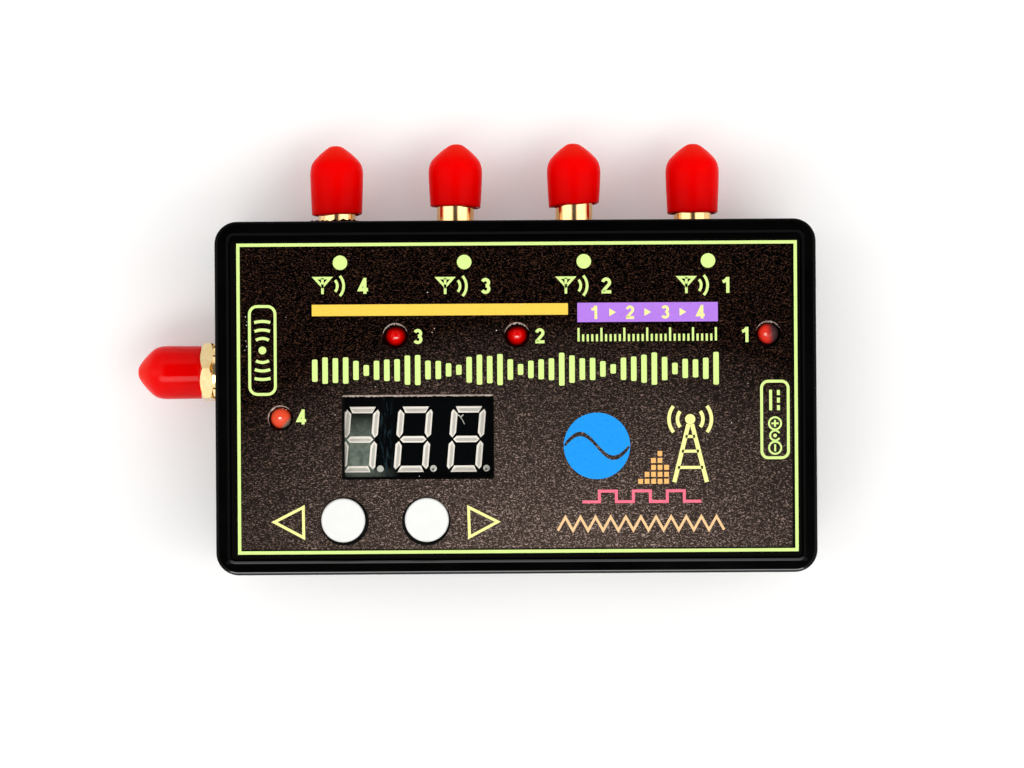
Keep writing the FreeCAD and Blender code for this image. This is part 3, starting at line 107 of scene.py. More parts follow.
def mixColours(tree, factor, first, second):
    return addNode(tree, "Mix", {0: factor, 6: first, 7: second}, data_type="RGBA").outputs[2]


def splitVector(tree, vector):
    return addNode(tree, "SeparateXYZ", {0: vector}).outputs


def inMillimetres(tree):
    place = addNode(tree, "TexCoord").outputs["Object"]
    return addNode(tree, "VectorMath", {0: place, "Scale": 1 / mm}, operation="SCALE").outputs[0]


def stretched(tree, place, stretch, turn=0.0):
    return addNode(tree, "Mapping", {"Vector": place, "Scale": stretch, "Rotation": (0, 0, turn)}).outputs[0]


def makeNoise(tree, place, scale, **inputs):
    return addNode(tree, "TexNoise", {"Vector": place, "Scale": scale, **inputs}).outputs


def farness(tree, place, middle, shape, first, last, smooth=False):
    # a ramp over the distance from a middle, with each axis weighed by the shape
    weighed = combine(tree, "MULTIPLY", combine(tree, "SUBTRACT", place, middle), shape)
    return ramp(tree, combine(tree, "LENGTH", weighed), first, last, smooth=smooth)


# camera, lights and room

view = {
    "target": (-0.55, 1.82),      # point of the panel under the lens
    "height": 376.0,              # lens above the floor
    "roll": -0.36,                # degrees
    "lens": 88.4,
    "sensor": 36.0,
    "near": 0.01,                 # metres
    "far": 20.0,
}


def makeCamera():
    data = bpy.data.cameras.new("topCamera")
    data.lens, data.sensor_width = view["lens"], view["sensor"]
    data.clip_start, data.clip_end = view["near"], view["far"]
    camera = bpy.data.objects.new("topCamera", data)
    camera.location = Vector((*view["target"], view["height"])) * mm
    camera.rotation_euler = (0, 0, math.radians(view["roll"]))
    bpy.context.scene.collection.objects.link(camera)
    bpy.context.scene.camera = camera


lampLight = (1.0, 0.985, 0.965)
softBoxes = {
    # name: (east, north, height of its middle, width, depth, watts)
    "southSoftBox": (60, -191, 430, 760, 180, 1.04),
    "northFill": (-60, 420, 380, 620, 260, 0.2),
    "eastPanel": (430, 0, 430, 300, 630, 0.69),
    "westPanel": (-430, 0, 430, 300, 630, 0.67),
}


def makeLights():
    for name, (east, north, height, width, depth, watts) in softBoxes.items():
        data = bpy.data.lights.new(name, "AREA")
        data.shape = "RECTANGLE"
        data.size, data.size_y = width * mm, depth * mm
        data.energy, data.color = watts, lampLight
        lamp = bpy.data.objects.new(name, data)
        lamp.location = Vector((east, north, height)) * mm
        aim = Vector((0, 0, rimTop)) * mm - lamp.location
        lamp.rotation_euler = aim.to_track_quat("-Z", "Y").to_euler()
        bpy.context.scene.collection.objects.link(lamp)


room = {
    # shares are of a direction of length 1, seen from the object
    "colour": (1.0, 0.995, 0.985, 1.0),
    "diffuse": 0.52,              # light from the white room
    "shown": 1.0,                 # the room where it is seen straight
    "mirrored": (0.8, 1.28),      # the room in glossy surfaces, in the north and in the south
    "walls": 0.87,                # share along Y where these are reached
    "ceiling": 0.1,               # darker strip overhead, over the camera
    "stripShape": (4, 1, 0),      # it is that much narrower along X
    "stripEdge": (0.72, 0.86),    # how far it reaches along Y
    "window": 6.0,                # brightness added in a window
    "windowMiddle": (0.0, -0.43),
    "windowHalf": (0.42, 0.19),
    "windowBlur": 0.03,
}


def makeRoom():
    world = bpy.data.worlds.new("whiteRoom")
    bpy.context.scene.world = world
    world.use_nodes = True
    tree = world.node_tree
    tree.nodes.clear()
    direction = addNode(tree, "TexCoord").outputs["Generated"]
    parts = splitVector(tree, direction)
    walls = ramp(tree, parts["Y"], room["walls"], -room["walls"], *room["mirrored"])
    reach = combine(tree, "LENGTH", combine(tree, "MULTIPLY", direction, room["stripShape"]))
    glow = ramp(tree, reach, *room["stripEdge"], room["ceiling"], walls)
    inside = []
    for axis, middle, half in zip("XY", room["windowMiddle"], room["windowHalf"]):
        off = calculate(tree, "ABSOLUTE", calculate(tree, "SUBTRACT", parts[axis], middle))
        inside.append(ramp(tree, off, half, half - room["windowBlur"]))
    glow = calculate(tree, "MULTIPLY_ADD", calculate(tree, "MULTIPLY", *inside), room["window"], glow)
    rays = addNode(tree, "LightPath").outputs
    mirrored = calculate(tree, "MAXIMUM", rays["Is Glossy Ray"], rays["Is Transmission Ray"])
    strength = mixValues(tree, mirrored, room["diffuse"], glow)
    strength = mixValues(tree, rays["Is Camera Ray"], strength, room["shown"])
    background = addNode(tree, "Background", {"Color": room["colour"], "Strength": strength})
    addNode(tree, "OutputWorld", {"Surface": background.outputs[0]})


bpy.context.scene.view_settings.view_transform = "Standard"
makeCamera()
makeLights()
makeRoom()
print("camera, lights and room are set")


# node groups that several materials share

def makeGroup(build, inputs, *outputs):
    # build(tree, given) makes the nodes from the named inputs, and gives a value for each output
    group = bpy.data.node_groups.new(build.__name__, "ShaderNodeTree")
    for name, value in inputs.items():
        kind = "NodeSocketVector" if isinstance(value, tuple) else "NodeSocketFloat"
        group.interface.new_socket(name, in_out="INPUT", socket_type=kind).default_value = value
    for name in outputs:
        group.interface.new_socket(name, in_out="OUTPUT", socket_type="NodeSocketFloat")
    values = build(group, group.nodes.new("NodeGroupInput").outputs)
    end = group.nodes.new("NodeGroupOutput")
    for name, value in zip(outputs, values):
        group.links.new(value, end.inputs[name])
    return group


def dustSpecks(tree, given):
    # pale specks, some round and some drawn out like lint
    place = stretched(tree, inMillimetres(tree), (1.0, 0.62, 1.0), 0.6)
    cells = addNode(tree, "TexVoronoi", {
        "Vector": place, "Scale": calculate(tree, "DIVIDE", 1.0, given["Spacing"])}).outputs
    distance = calculate(tree, "MULTIPLY", cells["Distance"], given["Spacing"])
    spot = ramp(tree, distance, calculate(tree, "MULTIPLY", given["Size"], 0.45), given["Size"], 1.0, 0.0)
    pick = addNode(tree, "SeparateColor", {"Color": cells["Color"]}).outputs
    chosen = calculate(tree, "LESS_THAN", pick["Red"], given["Share"])
    return [calculate(tree, "MULTIPLY", calculate(tree, "MULTIPLY", spot, chosen), pick["Green"])]


def smudges(tree, given):
    # soft cloudy patches for roughness and colour
    clouds = makeNoise(tree, inMillimetres(tree), given["Scale"], Detail=4.0, Roughness=0.6, Distortion=0.4)
    return [ramp(tree, clouds["Fac"], 0.32, 0.68, given["Low"], given["High"])]


def hairScratches(tree, given):
    # thin hairlines in two directions
    place = inMillimetres(tree)
    lines = []
    for stretch, turn in (((0.05, 1.0, 1.0), 0.5), ((1.0, 0.06, 1.0), 0.25)):
        waves = makeNoise(tree, stretched(tree, place, stretch, turn), given["Density"], Detail=1.0, Roughness=0.5)
        off = calculate(tree, "ABSOLUTE", calculate(tree, "SUBTRACT", waves["Fac"], 0.62))
        lines.append(ramp(tree, off, 0.0, given["Width"], 1.0, 0.0))
    return [calculate(tree, "MAXIMUM", *lines)]


def pressedLeather(tree, given):
    # short worm-like ridges of the pressed film, only inside a rectangle of the panel
    place = inMillimetres(tree)
    bend = combine(tree, "SUBTRACT", makeNoise(tree, place, 1.1, Detail=1.0)["Color"], (0.5, 0.5, 0.5))
    moved = combine(tree, "MULTIPLY_ADD", bend, (0.9, 0.9, 0.9), stretched(tree, place, (0.72, 1.3, 1.0), 0.4))
    ridges = makeNoise(tree, moved, given["Scale"], Detail=1.6, Roughness=0.6)
    parts = splitVector(tree, place)
    inside = []
    for axis, limit in (("X", "Half Length"), ("Y", "Half Width")):
        left = calculate(tree, "SUBTRACT", given[limit], calculate(tree, "ABSOLUTE", parts[axis]))
        inside.append(ramp(tree, left, 0.0, 0.2))
    mask = calculate(tree, "MULTIPLY", *inside)
    height = ramp(tree, ridges["Fac"], 0.53, 0.66, smooth=True)
    return [calculate(tree, "MULTIPLY", height, mask), mask]


def smoothStrips(tree, given):
    # the smooth strips on the near side: the slope of the label recess and the rounded outer edge
    x, y, z = splitVector(tree, inMillimetres(tree))

    def within(value, kind, part, limit):
        # the value where the part is on that side of the limit, and else 0
        return calculate(tree, "MULTIPLY", value, calculate(tree, kind, part, given[limit]))

    slope = within(ramp(tree, y, given["Foot"], given["Top"], 0.15), "GREATER_THAN", y, "Top")
    slope = within(slope, "LESS_THAN", y, "Foot")
    slope = within(slope, "LESS_THAN", calculate(tree, "ABSOLUTE", x), "Half Length")
    edge = within(given["Edge Share"], "LESS_THAN", y, "Edge")
    edge = within(edge, "GREATER_THAN", y, "Edge End")
    return [within(calculate(tree, "ADD", slope, edge), "GREATER_THAN", z, "Lowest")]


def turnedRings(tree, given):
    # fine rings left by a lathe, across the direction given
    along = combine(tree, "DOT_PRODUCT", inMillimetres(tree), given["Axis"])
    rings = addNode(tree, "TexNoise", {"W": along, "Scale": given["Scale"], "Detail": 2.0}, noise_dimensions="1D")
    return [rings.outputs["Fac"]]


def mouldedSkin(tree, given):
    # faint waviness and fine grain of moulded plastic
    place = inMillimetres(tree)
    waves = makeNoise(tree, place, given["Waves"], Detail=2.0)
    grain = makeNoise(tree, place, given["Grain"], Detail=3.0, Roughness=0.6)
    return [calculate(tree, "MULTIPLY_ADD", grain["Fac"], given["Grain Share"], waves["Fac"])]


dustGroup = makeGroup(dustSpecks, {"Spacing": 1.4, "Size": 0.06, "Share": 0.3}, "Mask")
smudgeGroup = makeGroup(smudges, {"Scale": 0.2, "Low": 0.0, "High": 1.0}, "Value")
scratchGroup = makeGroup(hairScratches, {"Density": 0.5, "Width": 0.02}, "Mask")
leatherGroup = makeGroup(
    pressedLeather, {"Scale": 2.6, "Half Length": 39.2, "Half Width": 21.6}, "Height", "Mask")
stripGroup = makeGroup(
    smoothStrips, {"Foot": -22.85, "Top": -23.35, "Edge": -24.4, "Edge End": -24.84, "Half Length": 41.0,
                   "Lowest": 20.4, "Edge Share": 0.32}, "Mask")
ringGroup = makeGroup(turnedRings, {"Axis": (0.0, 1.0, 0.0), "Scale": 9.0}, "Height")
skinGroup = makeGroup(mouldedSkin, {"Waves": 0.5, "Grain": 9.0, "Grain Share": 0.2}, "Height")
print("shared node groups are built")


# materials

def placeGroup(tree, group, inputs):
    return addNode(tree, "Group", inputs, node_tree=group).outputs


def smudged(tree, scale, low=0.0, high=1.0):
    return placeGroup(tree, smudgeGroup, {"Scale": scale, "Low": low, "High": high})["Value"]


def dusted(tree, colour, spacing, size, share, speck):
    mask = placeGroup(tree, dustGroup, {"Spacing": spacing, "Size": size, "Share": share})["Mask"]
    return mixColours(tree, mask, colour, linear(*speck))


def relief(tree, height, depth):
    # depth in millimetres from the lowest to the highest point
    return addNode(tree, "Bump", {"Height": height, "Distance": depth * mm}).outputs["Normal"]


def makeMaterial(name, build, *items, wrap=None):
    # build(tree, ...) gives the shader's inputs, and wrap(tree, surface) may add to what it puts out
    material = bpy.data.materials.new(name)
    material.use_nodes = True
    tree = material.node_tree
    tree.nodes.clear()
    surface = addNode(tree, "BsdfPrincipled", build(tree, *items)).outputs["BSDF"]
    addNode(tree, "OutputMaterial", {"Surface": wrap(tree, surface) if wrap else surface})
    return material


plainFinish = {
    # what a finish has unless it says otherwise
    "shader": {},
    "cloudScale": 0.3,
    "smudgeScale": 0.12,
    "dust": (1.4, 0.05, 0.2),     # spacing, size and share of the specks
    "speck": (150, 146, 140),
    "hairs": {"Density": 0.6, "Width": 0.006},
    "hairRoughness": 0.25,        # added on a hairline
    "skin": {},
    "depth": 0.01,                # of the skin's relief
    "strips": None,               # values of the smooth strips, where it has them
}
metal = {"Metallic": 1.0}
finishes = {
    "casePlastic": {
        "colours": ((1, 1, 1), (3, 3, 3)), "roughness": (0.12, 0.2), "dust": (2.6, 0.09, 0.05),
        "shader": {"Specular IOR Level": 0.05, "Coat Roughness": 0.05, "Coat IOR": 2.0},
        "strips": {"Foot": -22.84, "Top": -23.36},
        "hairs": {"Density": 0.6, "Width": 0.0}, "skin": {"Waves": 0.35, "Grain": 6.0, "Grain Share": 0.05},
        "depth": 0.003},
    "displayBar": {
        "colours": ((250, 245, 234), (242, 235, 222)), "roughness": (0.3, 0.42), "cloudScale": 0.9,
        "shader": {"Specular IOR Level": 0.2}, "depth": 0.002},
    # painted shade for the middle of each bar
    "displayBarShade": {
        "colours": ((190, 186, 176), (202, 198, 188)), "roughness": (0.3, 0.42), "cloudScale": 0.9,
        "shader": {"Specular IOR Level": 0.2}, "depth": 0.002},
    "displayPoint": {
        "colours": ((214, 215, 204), (186, 188, 176)), "roughness": (0.08, 0.16), "cloudScale": 1.5,
        "shader": {"Specular IOR Level": 0.4}, "depth": 0.0},
    # painted dark reflection in the middle of the points
    "displayPointReflection": {
        "colours": ((92, 90, 80), (70, 70, 62)), "roughness": (0.2, 0.4), "depth": 0.0},
    "blackPanelAndGapShade": {
        "colours": ((1, 1, 1), (3, 3, 3)), "roughness": (0.6, 0.8), "dust": (1.4, 0.05, 0.03),
        "shader": {"Specular IOR Level": 0.05}, "depth": 0.004},
    "buttonPlastic": {
        "colours": ((243, 244, 243), (239, 240, 238)), "roughness": (0.3, 0.45), "dust": (1.4, 0.05, 0.05),
        "shader": {"Specular IOR Level": 0.2}, "depth": 0.004},
    "socketPlastic": {
        "colours": ((24, 24, 25), (32, 32, 33)), "roughness": (0.45, 0.6),
        "skin": {"Waves": 0.8, "Grain": 14.0, "Grain Share": 0.5}},
    "chipPlastic": {
        "colours": ((26, 26, 28), (36, 36, 38)), "roughness": (0.5, 0.7),
        "skin": {"Waves": 1.0, "Grain": 16.0, "Grain Share": 0.6}},
    "boardMask": {
        "colours": ((16, 92, 48), (22, 110, 60)), "roughness": (0.25, 0.4), "cloudScale": 0.15},
    "tinnedMetal": {
        "colours": ((214, 214, 208), (190, 190, 186)), "roughness": (0.22, 0.4), "shader": metal},
    "brightSteel": {
        "colours": ((196, 195, 190), (176, 175, 172)), "roughness": (0.25, 0.4), "shader": metal, "depth": 0.006},
    "screwSteel": {
        "colours": ((150, 150, 152), (120, 120, 124)), "roughness": (0.28, 0.45), "shader": metal, "depth": 0.008},
    "jackInsulator": {
        "colours": ((236, 233, 226), (226, 222, 214)), "roughness": (0.4, 0.5), "depth": 0.004},
    "canAluminium": {
        "colours": ((206, 206, 208), (190, 190, 194)), "roughness": (0.25, 0.38), "shader": metal, "depth": 0.004},
    "chipCeramic": {
        "colours": ((150, 118, 88), (128, 100, 76)), "roughness": (0.4, 0.55), "depth": 0.006},
    # pale torn film, partly painted light for the lit north walls of the holes
    "tornFilmAndLitWall": {
        "colours": ((196, 180, 168), (118, 100, 92)), "roughness": (0.5, 0.7), "cloudScale": 2.2, "depth": 0.02},
}


def generalFinish(tree, finish):
    # a colour with cloudy variation, dust, hairlines and a moulded skin
    look = {**plainFinish, **finish}
    pale, deep = look["colours"]
    colour = mixColours(tree, smudged(tree, look["cloudScale"]), linear(*pale), linear(*deep))
    hairs = placeGroup(tree, scratchGroup, look["hairs"])["Mask"]
    rough = smudged(tree, look["smudgeScale"], *look["roughness"])
    inputs = {
        **look["shader"], "Base Color": dusted(tree, colour, *look["dust"], look["speck"]),
        "Roughness": calculate(tree, "MULTIPLY_ADD", hairs, look["hairRoughness"], rough),
        "Normal": relief(tree, placeGroup(tree, skinGroup, look["skin"])["Height"], look["depth"])}
    if look["strips"]:
        inputs["Coat Weight"] = placeGroup(tree, stripGroup, look["strips"])["Mask"]
    return inputs


labelFinish = {
    # dark and light of the pressed grain, at the north and at the south edge; the light of the ridges is a painted
    # sheen, and the south edge is painted lighter, a painted sheen of the light from the south
    "north": (linear(0, 0, 0), linear(74, 48, 36)),
    "south": (linear(72, 60, 54), linear(200, 177, 166)),
    "margin": linear(8, 7, 6),
    "sheenMiddle": (5.0, -30.0, 0.0),
    "sheenShape": (0.66, 1.0, 0.0),
    "sheenReach": (41.0, 2.0),          # how far from there the painted sheen starts, and where it is full
    "roughness": (0.34, 0.42),
    "grain": 5.0,                 # ridges per millimetre
    "depth": 0.03,
    "halfLength": 39.1,
    "halfWidth": 21.5,
    "dust": (3.2, 0.1, 0.1, (190, 186, 180)),
}


def labelFilm(tree):
    leather = placeGroup(tree, leatherGroup, {
        "Scale": labelFinish["grain"], "Half Length": labelFinish["halfLength"],
        "Half Width": labelFinish["halfWidth"]})
    # painted sheen: the film is painted lighter towards the south edge and lighter on its ridges, as the light from
    # the south falls on it
    southSheen = farness(tree, inMillimetres(tree), labelFinish["sheenMiddle"], labelFinish["sheenShape"],
                   *labelFinish["sheenReach"])
    shades = [mixColours(tree, southSheen, north, south)
              for north, south in zip(labelFinish["north"], labelFinish["south"])]
    colour = mixColours(tree, leather["Height"], *shades)
    colour = mixColours(tree, leather["Mask"], labelFinish["margin"], colour)
    return {"Specular IOR Level": 0.01, "Base Color": dusted(tree, colour, *labelFinish["dust"]),
            "Roughness": smudged(tree, 0.1, *labelFinish["roughness"]),
            "Normal": relief(tree, leather["Height"], labelFinish["depth"])}


inkColours = {
    "inkGreen": linear(220, 249, 148),
    "inkYellow": linear(255, 252, 160),
    "inkAmber": linear(253, 210, 80),
    "inkPurple": linear(182, 126, 234),
    "inkBlue": linear(10, 152, 246),
    "inkOrange": linear(255, 189, 112),
    "inkPink": linear(255, 116, 140),
    "inkPeach": linear(255, 204, 151),
}
inkFinish = {"field": 45.0, "paler": (1.04, 0.005), "deeper": 0.93, "depth": 0.01}


def printInk(tree, colour):
    # print on the film, so it carries the same pressed grain
    grain = placeGroup(tree, leatherGroup, {
        "Scale": labelFinish["grain"], "Half Length": inkFinish["field"], "Half Width": inkFinish["field"]})["Height"]
    gain, lift = inkFinish["paler"]
    paler = [min(1.0, value * gain + lift) for value in colour[:3]] + [1.0]
    deeper = [value * inkFinish["deeper"] for value in colour[:3]] + [1.0]
    return {"Specular IOR Level": 0.15, "Roughness": 0.55, "Base Color": mixColours(tree, grain, paler, deeper),
            "Normal": relief(tree, grain, inkFinish["depth"])}


goldFinish = {
    # direction the part is turned about, and its colours
    "goldAlongY": ((0.0, 1.0, 0.0), linear(246, 206, 148), linear(238, 192, 128)),
    "goldAlongX": ((1.0, 0.0, 0.0), linear(252, 228, 176), linear(244, 208, 140)),
}
goldSkin = {"roughness": (0.08, 0.16), "rings": 7.0, "depth": 0.0015}


def turnedGold(tree, axis, pale, deep):
    rings = placeGroup(tree, ringGroup, {"Axis": axis, "Scale": goldSkin["rings"]})["Height"]
    return {**metal, "Base Color": mixColours(tree, smudged(tree, 0.5), pale, deep),
            "Roughness": smudged(tree, 0.8, *goldSkin["roughness"]),
            "Normal": relief(tree, rings, goldSkin["depth"])}


vinylFinish = {
    # look: specular level, roughness, body colour, deeper colour, depth of the skin's waves
    "matt": (0.02, (0.12, 0.2), linear(255, 0, 0), linear(249, 0, 0), 0.015),
    "glossy": (0.07, (0.03, 0.05), linear(250, 0, 0), linear(243, 0, 0), 0.004),
}
vinylEnd = {
    "colour": linear(255, 30, 3),  # painted glow, where light comes through the empty end
    "reach": (3.0, 0.3),          # distances from the tip where it starts and is full
    "dust": (2.4, 0.07, 0.08, (250, 150, 140)),
    "skin": {"Waves": 0.6, "Grain": 5.0, "Grain Share": 0.06},
}


def dippedVinyl(tree, axis, tip, look):
    # axis points out of the case; tip is the place of the cap's end along it
    gloss, roughness, body, deep, depth = vinylFinish[look]
    start, full = vinylEnd["reach"]
    along = combine(tree, "DOT_PRODUCT", inMillimetres(tree), axis)
    # painted glow of light through the hollow end, stronger towards the tip
    lightThrough = ramp(tree, along, tip - start, tip - full, smooth=True)
    colour = mixColours(tree, lightThrough, mixColours(tree, smudged(tree, 0.4), deep, body), vinylEnd["colour"])
    skin = placeGroup(tree, skinGroup, vinylEnd["skin"])["Height"]
    return {"Specular IOR Level": gloss, "Base Color": dusted(tree, colour, *vinylEnd["dust"]),
            "Roughness": smudged(tree, 0.3, *roughness), "Normal": relief(tree, skin, depth)}


displayFinish = {
    "colour": linear(4, 5, 6),
    "haze": linear(120, 132, 120),  # dull film left on the west end of the face
    "hazeAlong": (-20.0, -20.6),  # along X, gone and full
    "hazeAcross": (-1.4, -7.0),   # along Y, gone and full
    "foot": linear(98, 108, 98),  # a darker film that reaches further east at the south end
    "footAlong": (-16.4, -20.0),
    "footAcross": (-9.6, -11.2),
    "streak": linear(30, 48, 54),
    "streaks": (-19.6, -17.4),    # along X
    "streakEdge": 0.7,
    "streakShare": (0.48, 0.66),  # noise where a streak starts and is full
    "roughness": (0.06, 0.14),
    "dust": (1.3, 0.05, 0.1, (90, 100, 105)),
}


def displayFace(tree):
    # glossy black, with a grey-green haze at its west end that breaks up into streaks
    place = inMillimetres(tree)
    x, y, _ = splitVector(tree, place)

    def patch(along, across):
        return calculate(tree, "MULTIPLY", ramp(tree, x, *along, smooth=True), ramp(tree, y, *across, smooth=True))

    patches = smudged(tree, 0.9, 0.45, 1.0)
    colour = displayFinish["colour"]
    for name in ("haze", "foot"):
        share = patch(displayFinish[name + "Along"], displayFinish[name + "Across"])
        colour = mixColours(tree, calculate(tree, "MULTIPLY", share, patches), colour, displayFinish[name])
    streaky = makeNoise(tree, stretched(tree, place, (1.0, 0.22, 1.0)), 2.2, Detail=3.0, Roughness=0.7)
    lines = ramp(tree, streaky["Fac"], *displayFinish["streakShare"], smooth=True)
    (west, east), edge = displayFinish["streaks"], displayFinish["streakEdge"]
    band = calculate(tree, "MULTIPLY", ramp(tree, x, west, west + edge, smooth=True),
                     ramp(tree, x, east, east - edge, smooth=True))
    colour = mixColours(tree, calculate(tree, "MULTIPLY", lines, band), colour, displayFinish["streak"])
    return {"Specular IOR Level": 0.15, "Base Color": dusted(tree, colour, *displayFinish["dust"]),
            "Roughness": smudged(tree, 0.3, *displayFinish["roughness"])}


lampLooks = {
    # middle of the lens; colour; colour of its painted shaded side, the way to it, where it starts and is full;
    # colour of the painted glint, its place off the middle and its half lengths
    "lamp_1": {"middle": (35.7, 8.75), "body": (255, 52, 32), "side": (66, 42, 44), "way": (1.0, 0.12),
               "shade": (-0.5, 0.8), "glint": (255, 176, 160), "off": (-0.42, -0.12), "half": (0.3, 0.3)},
    "lamp_2": {"middle": (0.2, 8.75), "body": (244, 4, 0), "side": (96, 2, 2), "way": (-0.1, 1.0),
               "shade": (0.35, 1.3), "glint": (255, 200, 190), "off": (-0.02, -0.22), "half": (0.4, 0.15)},
    "lamp_3": {"middle": (-17.0, 8.75), "body": (244, 4, 0), "side": (96, 2, 2), "way": (0.1, 1.0),
               "shade": (0.4, 1.35), "glint": (255, 200, 190), "off": (0.08, -0.3), "half": (0.42, 0.16)},
    "lamp_4": {"middle": (-33.3, -2.8), "body": (255, 74, 32), "side": (138, 122, 104), "way": (0.75, -0.66),
               "shade": (0.7, 1.25), "glint": (255, 240, 232), "off": (-0.02, 0.02), "half": (0.32, 0.2)},
}


def lampResin(tree, look):
    # painted shade on one side of the lens, and a painted glint
    (x, y), (east, north), (first, last) = look["middle"], look["way"], look["shade"]
    place = inMillimetres(tree)
    side = linear(*look["side"])
    colour = mixColours(tree, smudged(tree, 0.7, 0.0, 0.2), linear(*look["body"]), side)
    across = combine(tree, "DOT_PRODUCT", place, (east, north, 0.0))
    middle = x * east + y * north
    shade = ramp(tree, across, middle + first, middle + last, smooth=True)
    colour = mixColours(tree, shade, colour, side)
    (offX, offY), (width, tall) = look["off"], look["half"]
    glint = farness(tree, place, (x + offX, y + offY, 0.0), (1 / width, 1 / tall, 0.0), 1.0, 0.3, smooth=True)
    return {"Transmission Weight": 0.05, "IOR": 1.5, "Specular IOR Level": 0.08,
            "Base Color": mixColours(tree, glint, colour, linear(*look["glint"])),
            "Roughness": smudged(tree, 1.2, 0.05, 0.09)}


materials = {name: makeMaterial(name, generalFinish, finish) for name, finish in finishes.items()}
materials["labelFilm"] = makeMaterial("labelFilm", labelFilm)
materials["displayFace"] = makeMaterial("displayFace", displayFace)
for goldName, goldLook in goldFinish.items():
    materials[goldName] = makeMaterial(goldName, turnedGold, *goldLook)
for lampName, lampLook in lampLooks.items():
    materials["resin_" + lampName] = makeMaterial("resin_" + lampName, lampResin, lampLook)
for inkName, inkColour in inkColours.items():
    materials[inkName] = makeMaterial(inkName, printInk, inkColour)
print("materials are made:", len(materials))


# what each node of the model is made of

nodeFinishes = {
    "casePlastic": ["bottom_shell", "top_cover"],
    "labelFilm": ["faceplate_label"],
    "screwSteel": ["case_screws", "board_screws"],
    "boardMask": ["main_board"],
    "displayFace": ["display_housing"],
    "displayBar": ["display_segments"],
    "tinnedMetal": ["display_pins", "lamp_leads", "switch_terminals", "dc_inlet_contacts",
                    "microcontroller_leads"],
    "socketPlastic": ["display_sockets", "left_switch_housing", "right_switch_housing",
                      "left_switch_plunger", "right_switch_plunger", "dc_inlet_body"],
    "brightSteel": ["left_switch_cover_plate", "right_switch_cover_plate", "left_switch_dome",
                    "right_switch_dome", "crystal", "dc_inlet_pin"],
    "buttonPlastic": ["left_button_cap", "right_button_cap"],
    "goldAlongY": ["antenna_jack_1", "antenna_jack_2", "antenna_jack_3", "antenna_jack_4",
                   "jack_contacts"],
    "goldAlongX": ["radio_jack", "radio_jack_flat_washer", "radio_jack_lock_washer", "radio_jack_nut"],
    "jackInsulator": ["jack_insulators"],
    "chipPlastic": ["microcontroller", "rf_switch_chip", "voltage_regulator", "protection_diode",
                    "digit_transistors"],
    "canAluminium": ["supply_capacitor", "output_capacitor"],
    "chipCeramic": ["chip_resistors", "chip_capacitors"],
    **{"resin_" + name: [name] for name in lampLooks},
}


def dressNodes():
    for finish, names in nodeFinishes.items():
        for name in names:
            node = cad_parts[name]
            if not node.material_slots:
                node.data.materials.append(materials[finish])
            for slot in node.material_slots:
                slot.material = materials[finish]


dressNodes()
print("nodes are dressed")


# meshes

def addPoints(mesh, spots):
    return [mesh.verts.new(spot) for spot in spots]


def addObject(name, mesh, material):
    data = bpy.data.meshes.new(name)
    mesh.to_mesh(data)
    mesh.free()
    data.materials.append(material)
    item = bpy.data.objects.new(name, data)
    bpy.context.scene.collection.objects.link(item)
    return item


def finishPiece(name, mesh, finish, body, flat=False):
    # mesh is in millimetres, in the frame of the whole object; flat marks only have their faces turned up
    if flat:
        for face in mesh.faces:
            if face.normal.z < 0:
                face.normal_flip()
    else:
        bmesh.ops.recalc_face_normals(mesh, faces=mesh.faces)
    bmesh.ops.scale(mesh, vec=(mm, mm, mm), verts=mesh.verts)
    piece = addObject(name, mesh, materials[finish])
    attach(piece, body)
    return piece


def smoothBelow(mesh, degrees):
    # soft shading, with a crease where two faces meet at more than that angle
    for face in mesh.faces:
        face.smooth = True
    for edge in mesh.edges:
        if len(edge.link_faces) == 2:
            edge.smooth = edge.calc_face_angle(0) < math.radians(degrees)


def evenTurns(count):
    return [fullTurn * step / count for step in range(count)]


def ringOfPoints(mesh, place, angles, pointAt):
    # pointAt(angle) gives radius and distance along the axis
    ring = []
    for angle in angles:
        radius, along = pointAt(angle)
        ring.append(mesh.verts.new(place @ Vector((radius * math.cos(angle), radius * math.sin(angle), along))))
    return ring


def joinRings(mesh, first, second):
    count = len(first)
    for step in range(count):
        after = (step + 1) % count
        mesh.faces.new((first[step], first[after], second[after], second[step]))


def joinRows(mesh, rows):
    # rows of points that don't close
    for first, second in zip(rows, rows[1:]):
        for side in range(len(first) - 1):
            mesh.faces.new((first[side], second[side], second[side + 1], first[side + 1]))


def closeFan(mesh, ring, middle):
    for step, vert in enumerate(ring):
        mesh.faces.new((vert, ring[(step + 1) % len(ring)], middle))


def turnProfile(mesh, place, profile, angles):
    # profile is a list of (radius, along), or of functions of the angle that give them
    rings = []
    for item in profile:
        pointAt = item if callable(item) else (lambda angle, item=item: item)
        rings.append(ringOfPoints(mesh, place, angles, pointAt))
    for first, second in zip(rings, rings[1:]):
        joinRings(mesh, first, second)
    return rings


def addBlock(mesh, place, low, high, bevel):
    corners = [mesh.verts.new(place @ Vector((x, y, z)))
               for x in (low[0], high[0]) for y in (low[1], high[1]) for z in (low[2], high[2])]
    faces = [mesh.faces.new([corners[index] for index in face]) for face in (
        (0, 1, 3, 2), (4, 6, 7, 5), (0, 4, 5, 1), (2, 3, 7, 6), (0, 2, 6, 4), (1, 5, 7, 3))]
    edges = list({edge for face in faces for edge in face.edges})
    bmesh.ops.bevel(mesh, geom=edges, offset=bevel, segments=2, profile=0.5, affect="EDGES")


def rectangle(west, south, east, north):
    return [(west, south), (east, south), (east, north), (west, north)]


northward = Matrix.Rotation(math.radians(-90), 4, "X")
westward = Matrix.Rotation(math.radians(90), 4, "Z") @ northward


# floor: pale paper far wider than the view, with a faint unevenness

